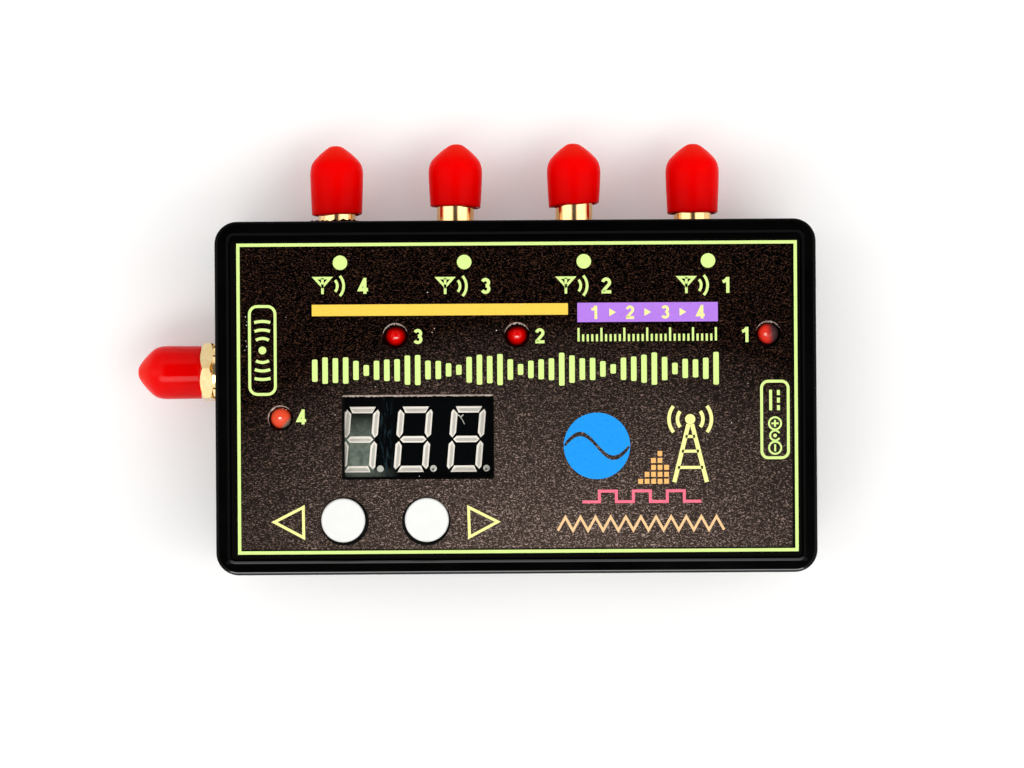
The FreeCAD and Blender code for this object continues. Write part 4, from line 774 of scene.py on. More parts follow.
paper = {
    "half": 900.0,
    "height": -0.05,              # a hair under the object, so the two never lie in one plane
    "glow": 0.13,                 # white added where the paper is seen, so its shadows stay light
    "colours": ((250, 250, 250), (253, 253, 253)),
    "roughness": (0.75, 0.85),
}


def paperLook(tree):
    pale, deep = paper["colours"]
    return {"Specular IOR Level": 0.1, "Roughness": smudged(tree, 0.05, *paper["roughness"]),
            "Base Color": mixColours(tree, smudged(tree, 0.02), linear(*pale), linear(*deep))}


def paperGlow(tree, surface):
    # the paper glows a little where it is seen, and is clear from below
    rays = addNode(tree, "LightPath").outputs
    seen = calculate(tree, "MAXIMUM", rays["Is Camera Ray"], rays["Is Glossy Ray"])
    seen = calculate(tree, "MAXIMUM", seen, rays["Is Transmission Ray"])
    white = addNode(tree, "Emission", {"Strength": calculate(tree, "MULTIPLY", seen, paper["glow"])})
    both = addNode(tree, "AddShader", {0: surface, 1: white.outputs[0]}).outputs[0]
    below = addNode(tree, "NewGeometry").outputs["Backfacing"]
    clear = addNode(tree, "BsdfTransparent").outputs[0]
    return addNode(tree, "MixShader", {0: below, 1: both, 2: clear}).outputs[0]


def makeFloor():
    mesh = bmesh.new()
    half = paper["half"] * mm
    spots = [(x, y, paper["height"] * mm) for x, y in rectangle(-half, -half, half, half)]
    mesh.faces.new(addPoints(mesh, spots))
    floor = addObject("floor", mesh, makeMaterial("paper", paperLook, wrap=paperGlow))


makeFloor()
print("floor is made")


# jacks: each is one turned and threaded gold part, in place of the plain one

jackAxis = 8.0                    # height of all jacks above the floor

jack = {
    "flange": 6.35,
    "flangeDepth": 1.6,
    "flangeCorner": 0.25,
    "leg": 1.0,
    "legLength": 4.6,
    "legInside": 0.1,             # how far a leg reaches into the flange
    "legHeights": (0.1, 2.7),     # below the axis
    "legEdge": 0.06,
    "neck": 2.725,                # radius
    "neckFillet": (0.12, 0.1),    # where it meets the flange, across and along
    "bore": 2.3,
    "boreDepth": 1.9,
    "core": 2.05,
    "edge": 0.08,                 # small bevel of turned edges
    "steps": 80,                  # around
}

thread = {
    "pitch": 0.7056,
    "top": 3.175,                 # radius
    "root": 2.78,
    "lead": 0.35,                 # chamfer at both ends
    "flat": 0.15,                 # share of a turn at the top and at the root
    "start": 0.02,                # length of the step from the neck to the root
    "row": 0.085,                 # length between two rows of points
}

jackSites = {
    # name: (turn of its own frame, length of the plain neck, finish)
    **{"antenna_jack_" + number: (northward, 5.4, "goldAlongY") for number in "1234"},
    "radio_jack": (westward, 0.8, "goldAlongX"),
}


def jackFrame(name, turn):
    # the middle of the flange's back, with the jack's own z out of the case, and how far off its mouth is
    low, high = boxOf(name)
    middle = (low + high) / 2
    if turn is northward:
        place = Vector((middle.x, low.y + jack["legLength"], jackAxis))
        mouth = high.y - place.y
    else:
        place = Vector((high.x - jack["legLength"], middle.y, jackAxis))
        mouth = place.x - low.x
    return Matrix.Translation(place) @ turn, mouth


def threadRadius(share):
    # share of a turn, 0 to 1: rises, stays, falls, stays
    share = share % 1
    slope = 0.5 - thread["flat"]
    if share < slope:
        part = share / slope
    elif share < 0.5:
        part = 1.0
    elif share < 0.5 + slope:
        part = 1 - (share - 0.5) / slope
    else:
        part = 0.0
    return thread["root"] + (thread["top"] - thread["root"]) * part


def squareReach(angle, half, corner):
    # distance from the middle of a rounded square to its side
    east, north = abs(math.cos(angle)), abs(math.sin(angle))
    reach = half / max(east, north)
    inner = half - corner
    if min(east, north) * reach > inner:
        along = (east + north) * inner
        reach = along + math.sqrt(max(0.0, along * along - 2 * inner * inner + corner * corner))
    return reach


def makeJack(name):
    turn, neckLength, finish = jackSites[name]
    place, mouth = jackFrame(name, turn)
    half, depth, edge = jack["flange"] / 2, jack["flangeDepth"], jack["edge"]
    core, neck, bore, boreEnd = jack["core"], jack["neck"], jack["bore"], mouth - jack["boreDepth"]
    root, leadEnd = thread["root"], thread["top"] - thread["lead"]
    wider, fillet = jack["neckFillet"]
    start = depth + neckLength

    def square(size, along):
        return lambda angle: (squareReach(angle, size, jack["flangeCorner"]), along)

    def threadAt(along):
        limit = leadEnd + min(along - start, mouth - along)
        return lambda angle: (min(limit, threadRadius(along / thread["pitch"] - angle / fullTurn)), along)

    profile = [(core, 0), square(half - edge, 0), square(half, edge), square(half, depth - edge),
               square(half - edge, depth), (neck + wider, depth), (neck, depth + fillet),
               (neck, start - thread["start"]), (root, start)]
    steps = round((mouth - start) / thread["row"])
    profile += [threadAt(start + (mouth - start) * step / steps) for step in range(1, steps)]
    profile += [(leadEnd, mouth), (bore + edge, mouth), (bore, mouth - edge), (bore, boreEnd), (core, boreEnd)]
    mesh = bmesh.new()
    rings = turnProfile(mesh, place, profile, evenTurns(jack["steps"]))
    joinRings(mesh, rings[-1], rings[0])
    across = jack["leg"] / 2
    for side in (-1, 1):
        middle = (half - across) * side
        for drop in jack["legHeights"]:
            low = (middle - across, drop - across, -jack["legLength"])
            high = (middle + across, drop + across, jack["legInside"])
            addBlock(mesh, place, low, high, jack["legEdge"])
    smoothBelow(mesh, 32)
    piece = finishPiece(name + "_threaded", mesh, finish, caseBody)
    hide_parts(name)


for jackName in jackSites:
    makeJack(jackName)
print("jacks are made")


# dust caps: dipped vinyl, each a little different, with an uneven mouth

capProfile = {
    # outside radius by distance from the tip
    "outside": ((0.0, 0.0), (0.03, 0.44), (0.1, 0.77), (0.22, 1.03), (0.37, 1.26), (0.66, 1.66),
                (0.95, 2.04), (1.24, 2.38), (1.54, 2.7), (1.83, 2.99), (2.12, 3.26), (2.41, 3.48),
                (2.7, 3.64), (3.0, 3.77), (3.58, 3.9), (4.17, 3.94)),
    "leanFrom": 4.5,              # distance from the tip where its lean starts
    "skin": 0.62,
    "slantSkin": 0.72,            # share of the skin taken off the radius in the hollow end
    "hollowTip": 0.02,            # smallest radius there
    "bore": 3.25,
    "boreEdge": (0.1, 0.02),      # across and along
    "lip": 0.14,
    "sideRows": 14,
    "steps": 72,                  # around
}

caps = {
    # radius of the mouth, its waves (lobes, amount, phase) and how far it hangs past the plain one;
    # the side's swell and its turn; lean of the tip; colour and gloss
    "antenna_dust_cap_1": {
        "mouth": 3.68, "waves": ((1, 0.03, 0.3), (3, 0.05, 1.2), (5, 0.02, 0.4)), "hang": 0.35,
        "swell": 0.02, "phase": 0.8, "lean": 0.12, "look": "matt"},
    "antenna_dust_cap_2": {
        "mouth": 3.68, "waves": ((1, 0.27, 0.0), (3, 0.05, 0.2), (4, 0.03, 2.0)), "hang": 0.36,
        "swell": 0.025, "phase": 2.1, "lean": -0.1, "look": "matt"},
    "antenna_dust_cap_3": {
        "mouth": 3.68, "waves": ((1, 0.13, 3.1), (2, 0.04, 2.2), (5, 0.02, 1.0)), "hang": 0.38,
        "swell": 0.02, "phase": 4.0, "lean": 0.16, "look": "matt"},
    "antenna_dust_cap_4": {
        "mouth": 3.68, "waves": ((1, 0.1, 0.0), (2, 0.05, 0.9), (4, 0.03, 0.1)), "hang": 0.38,
        "swell": 0.05, "phase": 5.2, "lean": -0.14, "look": "matt"},
    "radio_dust_cap": {
        "mouth": 3.87, "waves": ((1, 0.03, 4.9), (2, 0.06, 1.6), (4, 0.02, 0.7)), "hang": 0.28,
        "swell": 0.02, "phase": 1.4, "lean": 0.05, "look": "glossy"},
}


def makeCap(name):
    shape = caps[name]
    low, high = boxOf(name)
    middle = (low + high) / 2
    if name == "radio_dust_cap":
        place = Matrix.Translation((high.x, middle.y, jackAxis)) @ westward
        length, axis, end = high.x - low.x, (-1.0, 0.0, 0.0), -low.x
    else:
        place = Matrix.Translation((middle.x, low.y, jackAxis)) @ northward
        length, axis, end = high.y - low.y, (0.0, 1.0, 0.0), high.y
    finish = "vinyl_" + name
    materials[finish] = makeMaterial(finish, dippedVinyl, axis, end, shape["look"])

    def wave(angle):
        # how far the mouth is drawn back at that angle
        lift = sum(amount * (1 + math.cos(lobes * angle + turn)) for lobes, amount, turn in shape["waves"])
        return lift - shape["hang"]

    def swell(angle, along):
        share = math.sin(math.pi * min(1, max(0, along / length)))
        lobes = math.cos(2 * angle + shape["phase"]) + 0.5 * math.cos(3 * angle + 2.3 * shape["phase"])
        return -shape["swell"] * share * (1 + lobes / 1.5)

    def outer(radius, along, pull):
        return lambda angle: (radius + swell(angle, along), along + pull * wave(angle))

    lip, bore, skin, mouth = capProfile["lip"], capProfile["bore"], capProfile["skin"], shape["mouth"]
    across, back = capProfile["boreEdge"]
    profile = [outer(bore, back, 1), outer(bore + across, 0.0, 1), outer(mouth - lip, 0.0, 1),
               outer(mouth - lip / 3, lip / 3, 1), outer(mouth, lip, 1)]
    drop, widest = capProfile["outside"][-1]
    rows = capProfile["sideRows"]
    for row in range(1, rows):
        share = row / rows
        along = lip + (length - drop - lip) * share
        radius = mouth + (widest - mouth) * (1 - (1 - share) ** 1.5)
        profile.append(outer(radius, along, (1 - share) ** 2))
    profile += [outer(radius, length - drop, 0) for drop, radius in reversed(capProfile["outside"][1:])]
    outerEnd = len(profile)
    for drop, radius in capProfile["outside"][2:]:
        inside = max(capProfile["hollowTip"], min(bore, radius - skin * capProfile["slantSkin"]))
        profile.append((inside, length - drop - skin))
    mesh = bmesh.new()
    rings = turnProfile(mesh, place, profile, evenTurns(capProfile["steps"]))
    joinRings(mesh, rings[-1], rings[0])
    tip, hollow = addPoints(mesh, [place @ Vector((0, 0, along)) for along in (length, length - skin)])
    # the two skins aren't joined at the end: each is closed by a tip of its own
    outerTip, innerTip = rings[outerEnd - 1], rings[outerEnd]
    bridge = set(outerTip) | set(innerTip)
    for face in [face for face in mesh.faces if set(face.verts) <= bridge]:
        mesh.faces.remove(face)
    closeFan(mesh, outerTip, tip)
    closeFan(mesh, innerTip, hollow)
    home = place.inverted()
    for vert in mesh.verts:
        spot = home @ vert.co
        share = max(0.0, 1 + (spot.z - length) / capProfile["leanFrom"])
        spot.x += shape["lean"] * share * share
        vert.co = place @ spot
    smoothBelow(mesh, 60)
    piece = finishPiece(name + "_vinyl", mesh, finish, name)
    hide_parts(name)


for capName in caps:
    makeCap(capName)
print("dust caps are made")


# printing on the label: flat coloured marks, all a hair above the film

ink = {
    "lift": 0.014,                # top of the ink over the film
    "foot": 0.002,
    "overlap": 0.003,             # each later stroke of a figure lies that much higher, as inks overlap
    "line": 0.4,
}


def addPlate(mesh, outline, raised=0.0):
    # a flat mark with its own thin edge
    top = addPoints(mesh, [(x, y, labelTop + ink["lift"] + raised) for x, y in outline])
    foot = addPoints(mesh, [(x, y, labelTop + ink["foot"]) for x, y in outline])
    mesh.faces.new(top)
    for step, vert in enumerate(top):
        after = (step + 1) % len(top)
        mesh.faces.new((vert, foot[step], foot[after], top[after]))


def addStroke(mesh, points, width, closed=False, raised=0.0):
    # a line of even width through the points, mitred where it turns
    points = [Vector(point) for point in points]
    count = len(points)
    left, right = [], []
    for step, point in enumerate(points):
        sides = []
        if step or closed:
            sides.append((point - points[step - 1]).normalized().orthogonal())
        if step < count - 1 or closed:
            sides.append((points[(step + 1) % count] - point).normalized().orthogonal())
        across = sum(sides, Vector((0, 0))).normalized()
        reach = width / 2 / max(0.4, across.dot(sides[0]))
        left.append(point + across * reach)
        right.append(point - across * reach)
    for step in range(count if closed else count - 1):
        after = (step + 1) % count
        addPlate(mesh, (left[step], right[step], right[after], left[after]), raised)


def arcPoints(x, y, radius, first, last, steps=16):
    turns = [math.radians(first + (last - first) * step / steps) for step in range(steps + 1)]
    return [(x + radius * math.cos(turn), y + radius * math.sin(turn)) for turn in turns]


def circlePoints(x, y, radius, steps):
    return arcPoints(x, y, radius, 0, 360, steps)[:-1]


def addDisc(mesh, x, y, radius, steps=40):
    addPlate(mesh, circlePoints(x, y, radius, steps))


def roundedFrame(low, high, corner):
    (west, south), (east, north) = low, high
    points = []
    for x, y, first in ((east - corner, north - corner, 0), (west + corner, north - corner, 90),
                        (west + corner, south + corner, 180), (east - corner, south + corner, 270)):
        points += arcPoints(x, y, corner, first, first + 90, 8)
    return points


figureStrokes = {
    # each figure in a field one high, with its middle at nothing
    "1": [[(-0.25, 0.2), (-0.08, 0.27), (0.07, 0.45)], [(0.07, 0.5), (0.07, -0.5)]],
    "2": [arcPoints(0.0, 0.19, 0.21, 172, -38, 10) + [(-0.2, -0.36), (-0.2, -0.405), (0.31, -0.405)]],
    "3": [arcPoints(0.0, 0.205, 0.195, 158, -84, 10), arcPoints(0.0, -0.195, 0.21, 84, -158, 10)],
    "4": [[(0.33, -0.24), (-0.2, -0.24), (0.1, 0.38)], [(0.13, 0.5), (0.13, -0.5)]],
}
figureLine = 0.2                  # width of their strokes


def addNumber(mesh, figure, x, y, height):
    for index, points in enumerate(figureStrokes[figure]):
        spots = [(x + px * height, y + py * height) for px, py in points]
        addStroke(mesh, spots, figureLine * height, raised=index * ink["overlap"])


border = {"box": (-39.17, -21.83, 39.585, 21.66), "line": 0.46}


def drawBorder(mesh):
    addStroke(mesh, rectangle(*border["box"]), border["line"], closed=True)


jackMarks = {
    # jack number: middle of its mark along X and Y; then the dot over it
    "places": {4: (-24.55, 15.82), 3: (-7.21, 15.71), 2: (9.85, 15.67), 1: (26.87, 15.63)},
    "dots": {4: -24.75, 3: -7.2, 2: 9.7, 1: 27.25},
    "dotRow": 19.1,
    "dotSize": 2.05,
    "height": 2.25,
    "mast": -2.7,                 # from the middle, as are the waves and the figure
    "waves": -1.8,
    "figure": 3.0,
    "head": (1.1, -0.1),          # half width and foot of the aerial's head
    "line": 0.36,
    "radii": (1.2, 2.1),
    "spread": 42,
    "waveLine": 0.38,
}


def drawJackMarks(mesh):
    # an aerial, two waves and the jack's number
    half, line, spread = jackMarks["height"] / 2, jackMarks["line"], jackMarks["spread"]
    wide, foot = jackMarks["head"]
    for number, (x, y) in jackMarks["places"].items():
        addDisc(mesh, jackMarks["dots"][number], jackMarks["dotRow"], jackMarks["dotSize"] / 2)
        pole = x + jackMarks["mast"]
        addStroke(mesh, [(pole - wide, y + half), (pole + wide, y + half), (pole, y + foot)], line, closed=True)
        addStroke(mesh, [(pole, y + half), (pole, y - half)], line)
        for radius in jackMarks["radii"]:
            points = arcPoints(x + jackMarks["waves"], y, radius, -spread, spread)
            addStroke(mesh, points, jackMarks["waveLine"])
        addNumber(mesh, str(number), x + jackMarks["figure"], y, jackMarks["height"])


lampNumbers = {
    "height": 2.13,
    "places": {"1": (32.54, 8.61), "2": (3.42, 8.62), "3": (-13.82, 8.62), "4": (-30.37, -2.65)},
}


def drawLampNumbers(mesh):
    for number, place in lampNumbers["places"].items():
        addNumber(mesh, number, *place, lampNumbers["height"])


colourBars = {
    "amber": (-28.78, 11.57, 7.42, 13.19),
    "purple": (8.74, 10.5, 28.6, 13.24),
    "figures": 1.9,               # height
    "count": 4,
    "arrow": ((-0.45, -0.55), (0.5, 0.0), (-0.45, 0.55)),
}


def drawAmberBar(mesh):
    addPlate(mesh, rectangle(*colourBars["amber"]))


def drawPurpleBar(mesh):
    addPlate(mesh, rectangle(*colourBars["purple"]))


def drawStepFigures(mesh):
    # figures with arrows between them, on top of the purple ink
    west, south, east, north = colourBars["purple"]
    middle = (south + north) / 2
    step = (east - west) / colourBars["count"]
    for index in range(colourBars["count"]):
        x = west + step * (index + 0.5)
        addNumber(mesh, str(index + 1), x, middle, colourBars["figures"])
        if index:
            addPlate(mesh, [(x - step / 2 + px, middle + py) for px, py in colourBars["arrow"]])
    for vert in mesh.verts:
        vert.co.z += ink["lift"]


tuningScale = {
    "west": 8.9, "east": 28.3, "foot": 7.78, "count": 31, "line": 0.3,
    "tall": 1.9, "short": 1.0, "every": 5,  # one in so many is tall
}


def drawTuningScale(mesh):
    count, west, foot = tuningScale["count"], tuningScale["west"], tuningScale["foot"]
    for index in range(count):
        x = west + (tuningScale["east"] - west) * index / (count - 1)
        height = tuningScale["short" if index % tuningScale["every"] else "tall"]
        addStroke(mesh, [(x, foot), (x, foot + height)], tuningScale["line"])


signal = {
    "west": -28.4, "east": 28.3, "middle": 3.87, "tallest": 4.66, "shortest": 1.1,
    "bar": 0.78, "corner": 0.2, "count": 40, "seed": 4, "uneven": 0.12,
    "mean": 0.55, "swings": ((0.3, 0.83, 0.0), (0.15, 2.1, 0.6)),  # share, turn for each bar, first turn
}


def drawSignalBars(mesh):
    # upright bars whose heights swell and fall, like a signal in time
    pick = random.Random(signal["seed"])
    count, middle, across = signal["count"], signal["middle"], signal["bar"] / 2
    for index in range(count):
        x = signal["west"] + (signal["east"] - signal["west"]) * index / (count - 1)
        waves = [part * math.sin(index * turn + first) for part, turn, first in signal["swings"]]
        share = signal["mean"] + sum(waves)
        share = min(1, max(0, share + pick.uniform(-signal["uneven"], signal["uneven"])))
        half = (signal["shortest"] + (signal["tallest"] - signal["shortest"]) * share) / 2
        addPlate(mesh, roundedFrame((x - across, middle - half), (x + across, middle + half), signal["corner"]))


jackFrames = {
    "radio": ((-37.6, 0.57), (-33.98, 12.99), 1.1),
    "inlet": ((34.7, -8.83), (38.46, 1.99), 0.95),
}


def frameMiddle(name):
    (west, south), (east, north), _ = jackFrames[name]
    return (west + east) / 2, (south + north) / 2


def drawJackFrames(mesh):
    for low, high, corner in jackFrames.values():
        addStroke(mesh, roundedFrame(low, high, corner), ink["line"], closed=True)


radioWaves = {"dot": 0.55, "line": 0.42, "waves": ((1.7, 32), (2.9, 22), (4.1, 16))}  # radius and spread


def drawRadioWaves(mesh):
    # a dot with waves to both sides
    x, y = frameMiddle("radio")
    addDisc(mesh, x, y, radioWaves["dot"])
    for radius, spread in radioWaves["waves"]:
        for turn in (90, 270):
            addStroke(mesh, arcPoints(x, y, radius, turn - spread, turn + spread), radioWaves["line"])


inletMarks = {
    # all from the middle of the inlet's frame
    "whole": ((-0.6, 1.3), (-0.6, 4.2)),
    "broken": (0.5, 1.3, 0.72, 1.07, 3),  # x, foot, length and step of a dash, count
    "currentLine": 0.42,
    "poles": (-0.55, -4.0),       # plus and minus
    "ring": 0.86,
    "sign": (0.5, 0.14),          # half its length, and the gap in the plus's cross stroke
    "line": 0.26,
    "plug": (-2.27, 0.7, 0.26),   # its middle, the radii of its sleeve and of its pin
}


def drawInletMarks(mesh):
    # direct current: a whole line beside a broken one, and the poles of the plug
    x, y = frameMiddle("inlet")
    addStroke(mesh, [(x + px, y + py) for px, py in inletMarks["whole"]], inletMarks["currentLine"])
    east, foot, dash, step, count = inletMarks["broken"]
    for index in range(count):
        start = y + foot + index * step
        addStroke(mesh, [(x + east, start), (x + east, start + dash)], inletMarks["currentLine"])
    reach, gap = inletMarks["sign"]
    line = inletMarks["line"]
    for sign, pole in zip("+-", inletMarks["poles"]):
        middle = y + pole
        addStroke(mesh, circlePoints(x, middle, inletMarks["ring"], 28), line, closed=True)
        addStroke(mesh, [(x, middle - reach), (x, middle + reach)], line)
        if sign == "+":
            addStroke(mesh, [(x - reach, middle), (x - gap, middle)], line)
            addStroke(mesh, [(x + gap, middle), (x + reach, middle)], line)
    plug, sleeve, pin = inletMarks["plug"]
    addStroke(mesh, arcPoints(x, y + plug, sleeve, 30, 330, 20), line)
    addDisc(mesh, x, y + plug, pin, 16)


triangles = {
    "left": ((-34.59, -17.49), (-29.96, -15.12), (-29.92, -20.02)),
    "right": ((-2.33, -17.63), (-6.99, -15.26), (-6.87, -20.06)),
}
triangleInset = 0.35              # the line lies that far inside their corners


def middleOf(points):
    return sum((Vector(point) for point in points), Vector((0, 0))) / len(points)


def drawTriangles(mesh):
    for corners in triangles.values():
        middle = middleOf(corners)
        inset = [Vector(corner) + (middle - Vector(corner)).normalized() * triangleInset for corner in corners]
        addStroke(mesh, inset, ink["line"], closed=True)


waveDisc = {"x": 11.4, "y": -7.0, "radius": 4.7, "swing": 1.7, "gap": 0.32}


def drawWaveDisc(mesh):
    # two halves with a wave left bare between them
    x, y, radius = waveDisc["x"], waveDisc["y"], waveDisc["radius"]
    steps = 28
    wave = [(x - radius + 2 * radius * step / steps, y + waveDisc["swing"] * math.sin(fullTurn * step / steps))
            for step in range(1, steps)]
    addPlate(mesh, arcPoints(x, y, radius, 0, 180, 30) + [(px, py + waveDisc["gap"]) for px, py in wave])
    addPlate(mesh, arcPoints(x, y, radius, 180, 360, 30)
             + [(px, py - waveDisc["gap"]) for px, py in reversed(wave)])


mast = {
    "x": 24.6, "foot": -12.2, "height": 10.4,
    "wide": 2.3, "narrow": 0.25,  # half its width at the foot and at the top
    "head": 2.2,                  # the part over the legs
    "legLine": 0.6, "rungs": (0.2, 0.42, 0.62), "rungLine": 0.42,
    "lamp": 1.5, "lampSize": 0.72,  # how far under the top, and its radius
    "waves": (1.8, 3.0), "spread": 38, "waveLine": 0.5,
}


def drawMast(mesh):
    x, foot, height, wide = mast["x"], mast["foot"], mast["height"], mast["wide"]
    top = foot + height
    for side in (-1, 1):
        leg = [(x + side * wide, foot), (x + side * mast["narrow"], top - mast["head"])]
        addStroke(mesh, leg, mast["legLine"])
    for share in mast["rungs"]:
        half = wide - (wide - mast["narrow"]) * share / (1 - mast["head"] / height)
        level = foot + height * share
        addStroke(mesh, [(x - half, level), (x + half, level)], mast["rungLine"])
    addDisc(mesh, x, top - mast["lamp"], mast["lampSize"])
    for radius in mast["waves"]:
        for turn in (0, 180):
            points = arcPoints(x, top - mast["lamp"], radius, turn - mast["spread"], turn + mast["spread"])
            addStroke(mesh, points, mast["waveLine"])


levels = {
    "west": 17.2, "foot": -12.4, "blocks": (1, 2, 4, 5, 3),
    "width": 0.66, "height": 0.7, "across": 0.92, "up": 0.98,  # size of a block, and from one to the next
}


def drawLevelBlocks(mesh):
    for index, count in enumerate(levels["blocks"]):
        for block in range(count):
            west, south = levels["west"] + index * levels["across"], levels["foot"] + block * levels["up"]
            addPlate(mesh, rectangle(west, south, west + levels["width"], south + levels["height"]))


pulses = {"west": 9.3, "east": 26.1, "y": -14.9, "height": 1.5, "count": 3, "line": 0.42}


def drawPulses(mesh):
    west, east, y, top = pulses["west"], pulses["east"], pulses["y"], pulses["y"] + pulses["height"]
    points = [(west, y)]
    pulse = (east - west) / (2 * pulses["count"] + 1)
    for index in range(pulses["count"]):
        start = west + pulse * (2 * index + 1)
        points += [(start, y), (start, top), (start + pulse, top), (start + pulse, y)]
    points.append((east, y))
    addStroke(mesh, points, pulses["line"])


zigzag = {"west": 5.8, "east": 29.3, "y": -18.0, "swing": 0.95, "peaks": 22, "line": 0.36}


def drawZigzag(mesh):
    count, west, east = zigzag["peaks"], zigzag["west"], zigzag["east"]
    points = []
    for step in range(count + 1):
        side = 1 if step % 2 else -1
        points.append((west + (east - west) * step / count, zigzag["y"] + side * zigzag["swing"]))
    addStroke(mesh, points, zigzag["line"])


prints = {
    # name: what draws it, its colour
    "border": (drawBorder, "inkGreen"),
    "jack_marks": (drawJackMarks, "inkGreen"),
    "lamp_numbers": (drawLampNumbers, "inkGreen"),
    "amber_bar": (drawAmberBar, "inkAmber"),
    "purple_bar": (drawPurpleBar, "inkPurple"),
    "step_figures": (drawStepFigures, "inkYellow"),
    "tuning_scale": (drawTuningScale, "inkGreen"),
    "signal_bars": (drawSignalBars, "inkGreen"),
    "jack_frames": (drawJackFrames, "inkGreen"),
    "radio_waves": (drawRadioWaves, "inkGreen"),
    "inlet_marks": (drawInletMarks, "inkGreen"),
    "triangles": (drawTriangles, "inkYellow"),
    "wave_disc": (drawWaveDisc, "inkBlue"),
    "mast": (drawMast, "inkYellow"),
    "level_blocks": (drawLevelBlocks, "inkOrange"),
    "pulses": (drawPulses, "inkPink"),
    "zigzag": (drawZigzag, "inkPeach"),
}


def printLabel():
    for name, (draw, colour) in prints.items():
        mesh = bmesh.new()
        draw(mesh)
        finishPiece("print_" + name, mesh, colour, caseBody, flat=True)


printLabel()
print("the label is printed")


# screws with cross slots and rolled threads, in place of the plain ones

screws = {
    "case_screws": {
        "head": 2.5, "headHeight": 1.8, "core": 0.98, "top": 1.2, "length": 12.0, "pitch": 1.0,
        "slot": 1.35, "slotWidth": 0.36, "slotDepth": 1.1, "up": -1, "seat": 3.0,
        "spots": [(x, y) for x in (-38.5, 38.5) for y in (-21.0, 21.0)]},
    "board_screws": {
        "head": 1.9, "headHeight": 1.3, "core": 0.74, "top": 0.9, "length": 4.8, "pitch": 0.8,
        "slot": 1.0, "slotWidth": 0.28, "slotDepth": 0.75, "up": 1, "seat": 7.4,
        "spots": [(x, y) for x in (-33.5, 33.5) for y in (15.8, -18.6)]},
}
screwShape = {
    # shares of the head's radius and height up its round side
    "dome": ((1.0, 0.45), (0.97, 0.66), (0.88, 0.84), (0.74, 0.95), (0.58, 1.0)),
    "headEdge": 0.06,
    "slotEdge": (0.05, 0.06),     # across and along
    "slotFoot": 0.45,             # how much smaller the slot is at its foot
    "slotPoint": 0.15,            # how far its middle goes deeper
    "steps": 48,                  # around
    "rows": 8,                    # in a turn of the thread
    "runOut": 0.4,                # length under the head where the thread starts
    "point": (1.4, 0.35),         # length of the point, and its end's share of the radius
}


def slotAngles(shape):
    # even turns, with one at each side of the four arms of the slot
    edge = math.atan2(shape["slotWidth"], shape["slot"])
    angles = evenTurns(screwShape["steps"])
    for arm in range(4):
        angles += [(arm * math.pi / 2 + side * edge) % fullTurn for side in (-1, 1)]
    return sorted(angles)


def slotReach(shape, scale, angle):
    fromArm = abs((angle + math.pi / 4) % (math.pi / 2) - math.pi / 4)
    if fromArm <= math.atan2(shape["slotWidth"], shape["slot"]) + 1e-6:
        return scale * shape["slot"] / math.cos(fromArm)
    return scale * shape["slotWidth"] / math.sin(fromArm)


def addScrew(mesh, place, shape):
    head, rise, core = shape["head"], shape["headHeight"], shape["core"]
    edge, foot = screwShape["headEdge"], rise - shape["slotDepth"]
    wider, lower = screwShape["slotEdge"]
    profile = [(core, 0.0), (head - edge, 0.0), (head, edge)]
    profile += [(head * across, rise * up) for across, up in screwShape["dome"]]
    profile += [lambda angle: (slotReach(shape, 1.0, angle) + wider, rise),
                lambda angle: (slotReach(shape, 1.0, angle), rise - lower),
                lambda angle: (slotReach(shape, screwShape["slotFoot"], angle), foot)]
    angles = slotAngles(shape)
    rings = turnProfile(mesh, place, profile, angles)
    closeFan(mesh, rings[-1], mesh.verts.new(place @ Vector((0, 0, foot - screwShape["slotPoint"]))))
    pointLength, pointEnd = screwShape["point"]

    def shank(along):
        taper = pointEnd + (1 - pointEnd) * min(1.0, (shape["length"] - along) / pointLength)
        ridge = (shape["top"] - core) * min(1, along / screwShape["runOut"])

        def pointAt(angle):
            share = (along / shape["pitch"] + angle / fullTurn) % 1
            return (core + ridge * max(0.0, 1 - abs(share - 0.5) * 4)) * taper, -along
        return pointAt

    steps = round(shape["length"] / shape["pitch"] * screwShape["rows"])
    shankRings = [rings[0]]
    for step in range(1, steps + 1):
        shankRings.append(ringOfPoints(mesh, place, angles, shank(shape["length"] * step / steps)))
    for first, second in zip(shankRings, shankRings[1:]):
        joinRings(mesh, first, second)
    mesh.faces.new(shankRings[-1])


def makeScrews(name):
    shape = screws[name]
    mesh = bmesh.new()
    pick = random.Random(name)
    flip = Matrix.Rotation(math.pi, 4, "X") if shape["up"] < 0 else Matrix.Identity(4)
    for x, y in shape["spots"]:
        turn = Matrix.Rotation(pick.uniform(0, math.pi / 2), 4, "Z")
        addScrew(mesh, Matrix.Translation((x, y, shape["seat"])) @ flip @ turn, shape)
    smoothBelow(mesh, 38)
    piece = finishPiece(name + "_threaded", mesh, "screwSteel", caseBody)
    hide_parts(name)


for screwName in screws:
    makeScrews(screwName)
print("screws are made")


# torn film: the thin pale lip that the cutter left at the lamp holes and the window, laid only on their north sides,
# where its paleness also stands for the lit wall of the hole, a painted light

lampHole = 1.8                    # radius
lampLips = {
    # lamp: widest part of the lip, first and last turn, seed
    "lamp_1": (0.3, 25, 168, 11),
    "lamp_2": (0.36, 20, 172, 5),
    "lamp_3": (0.38, 15, 176, 8),
    "lamp_4": (0.28, 30, 215, 3),
}
tornEdge = {
    # depths under the top of the film
    "top": 0.01,
    "foot": 0.2,
    "sag": 0.05,                  # at most that much more at each point, at random
    "lampSag": 0.03,
    "lampEdge": 0.12,
    "windowEdge": 0.09,
    "narrowest": 0.02,
    "lampSteps": 52,
    "windowSteps": 120,
}


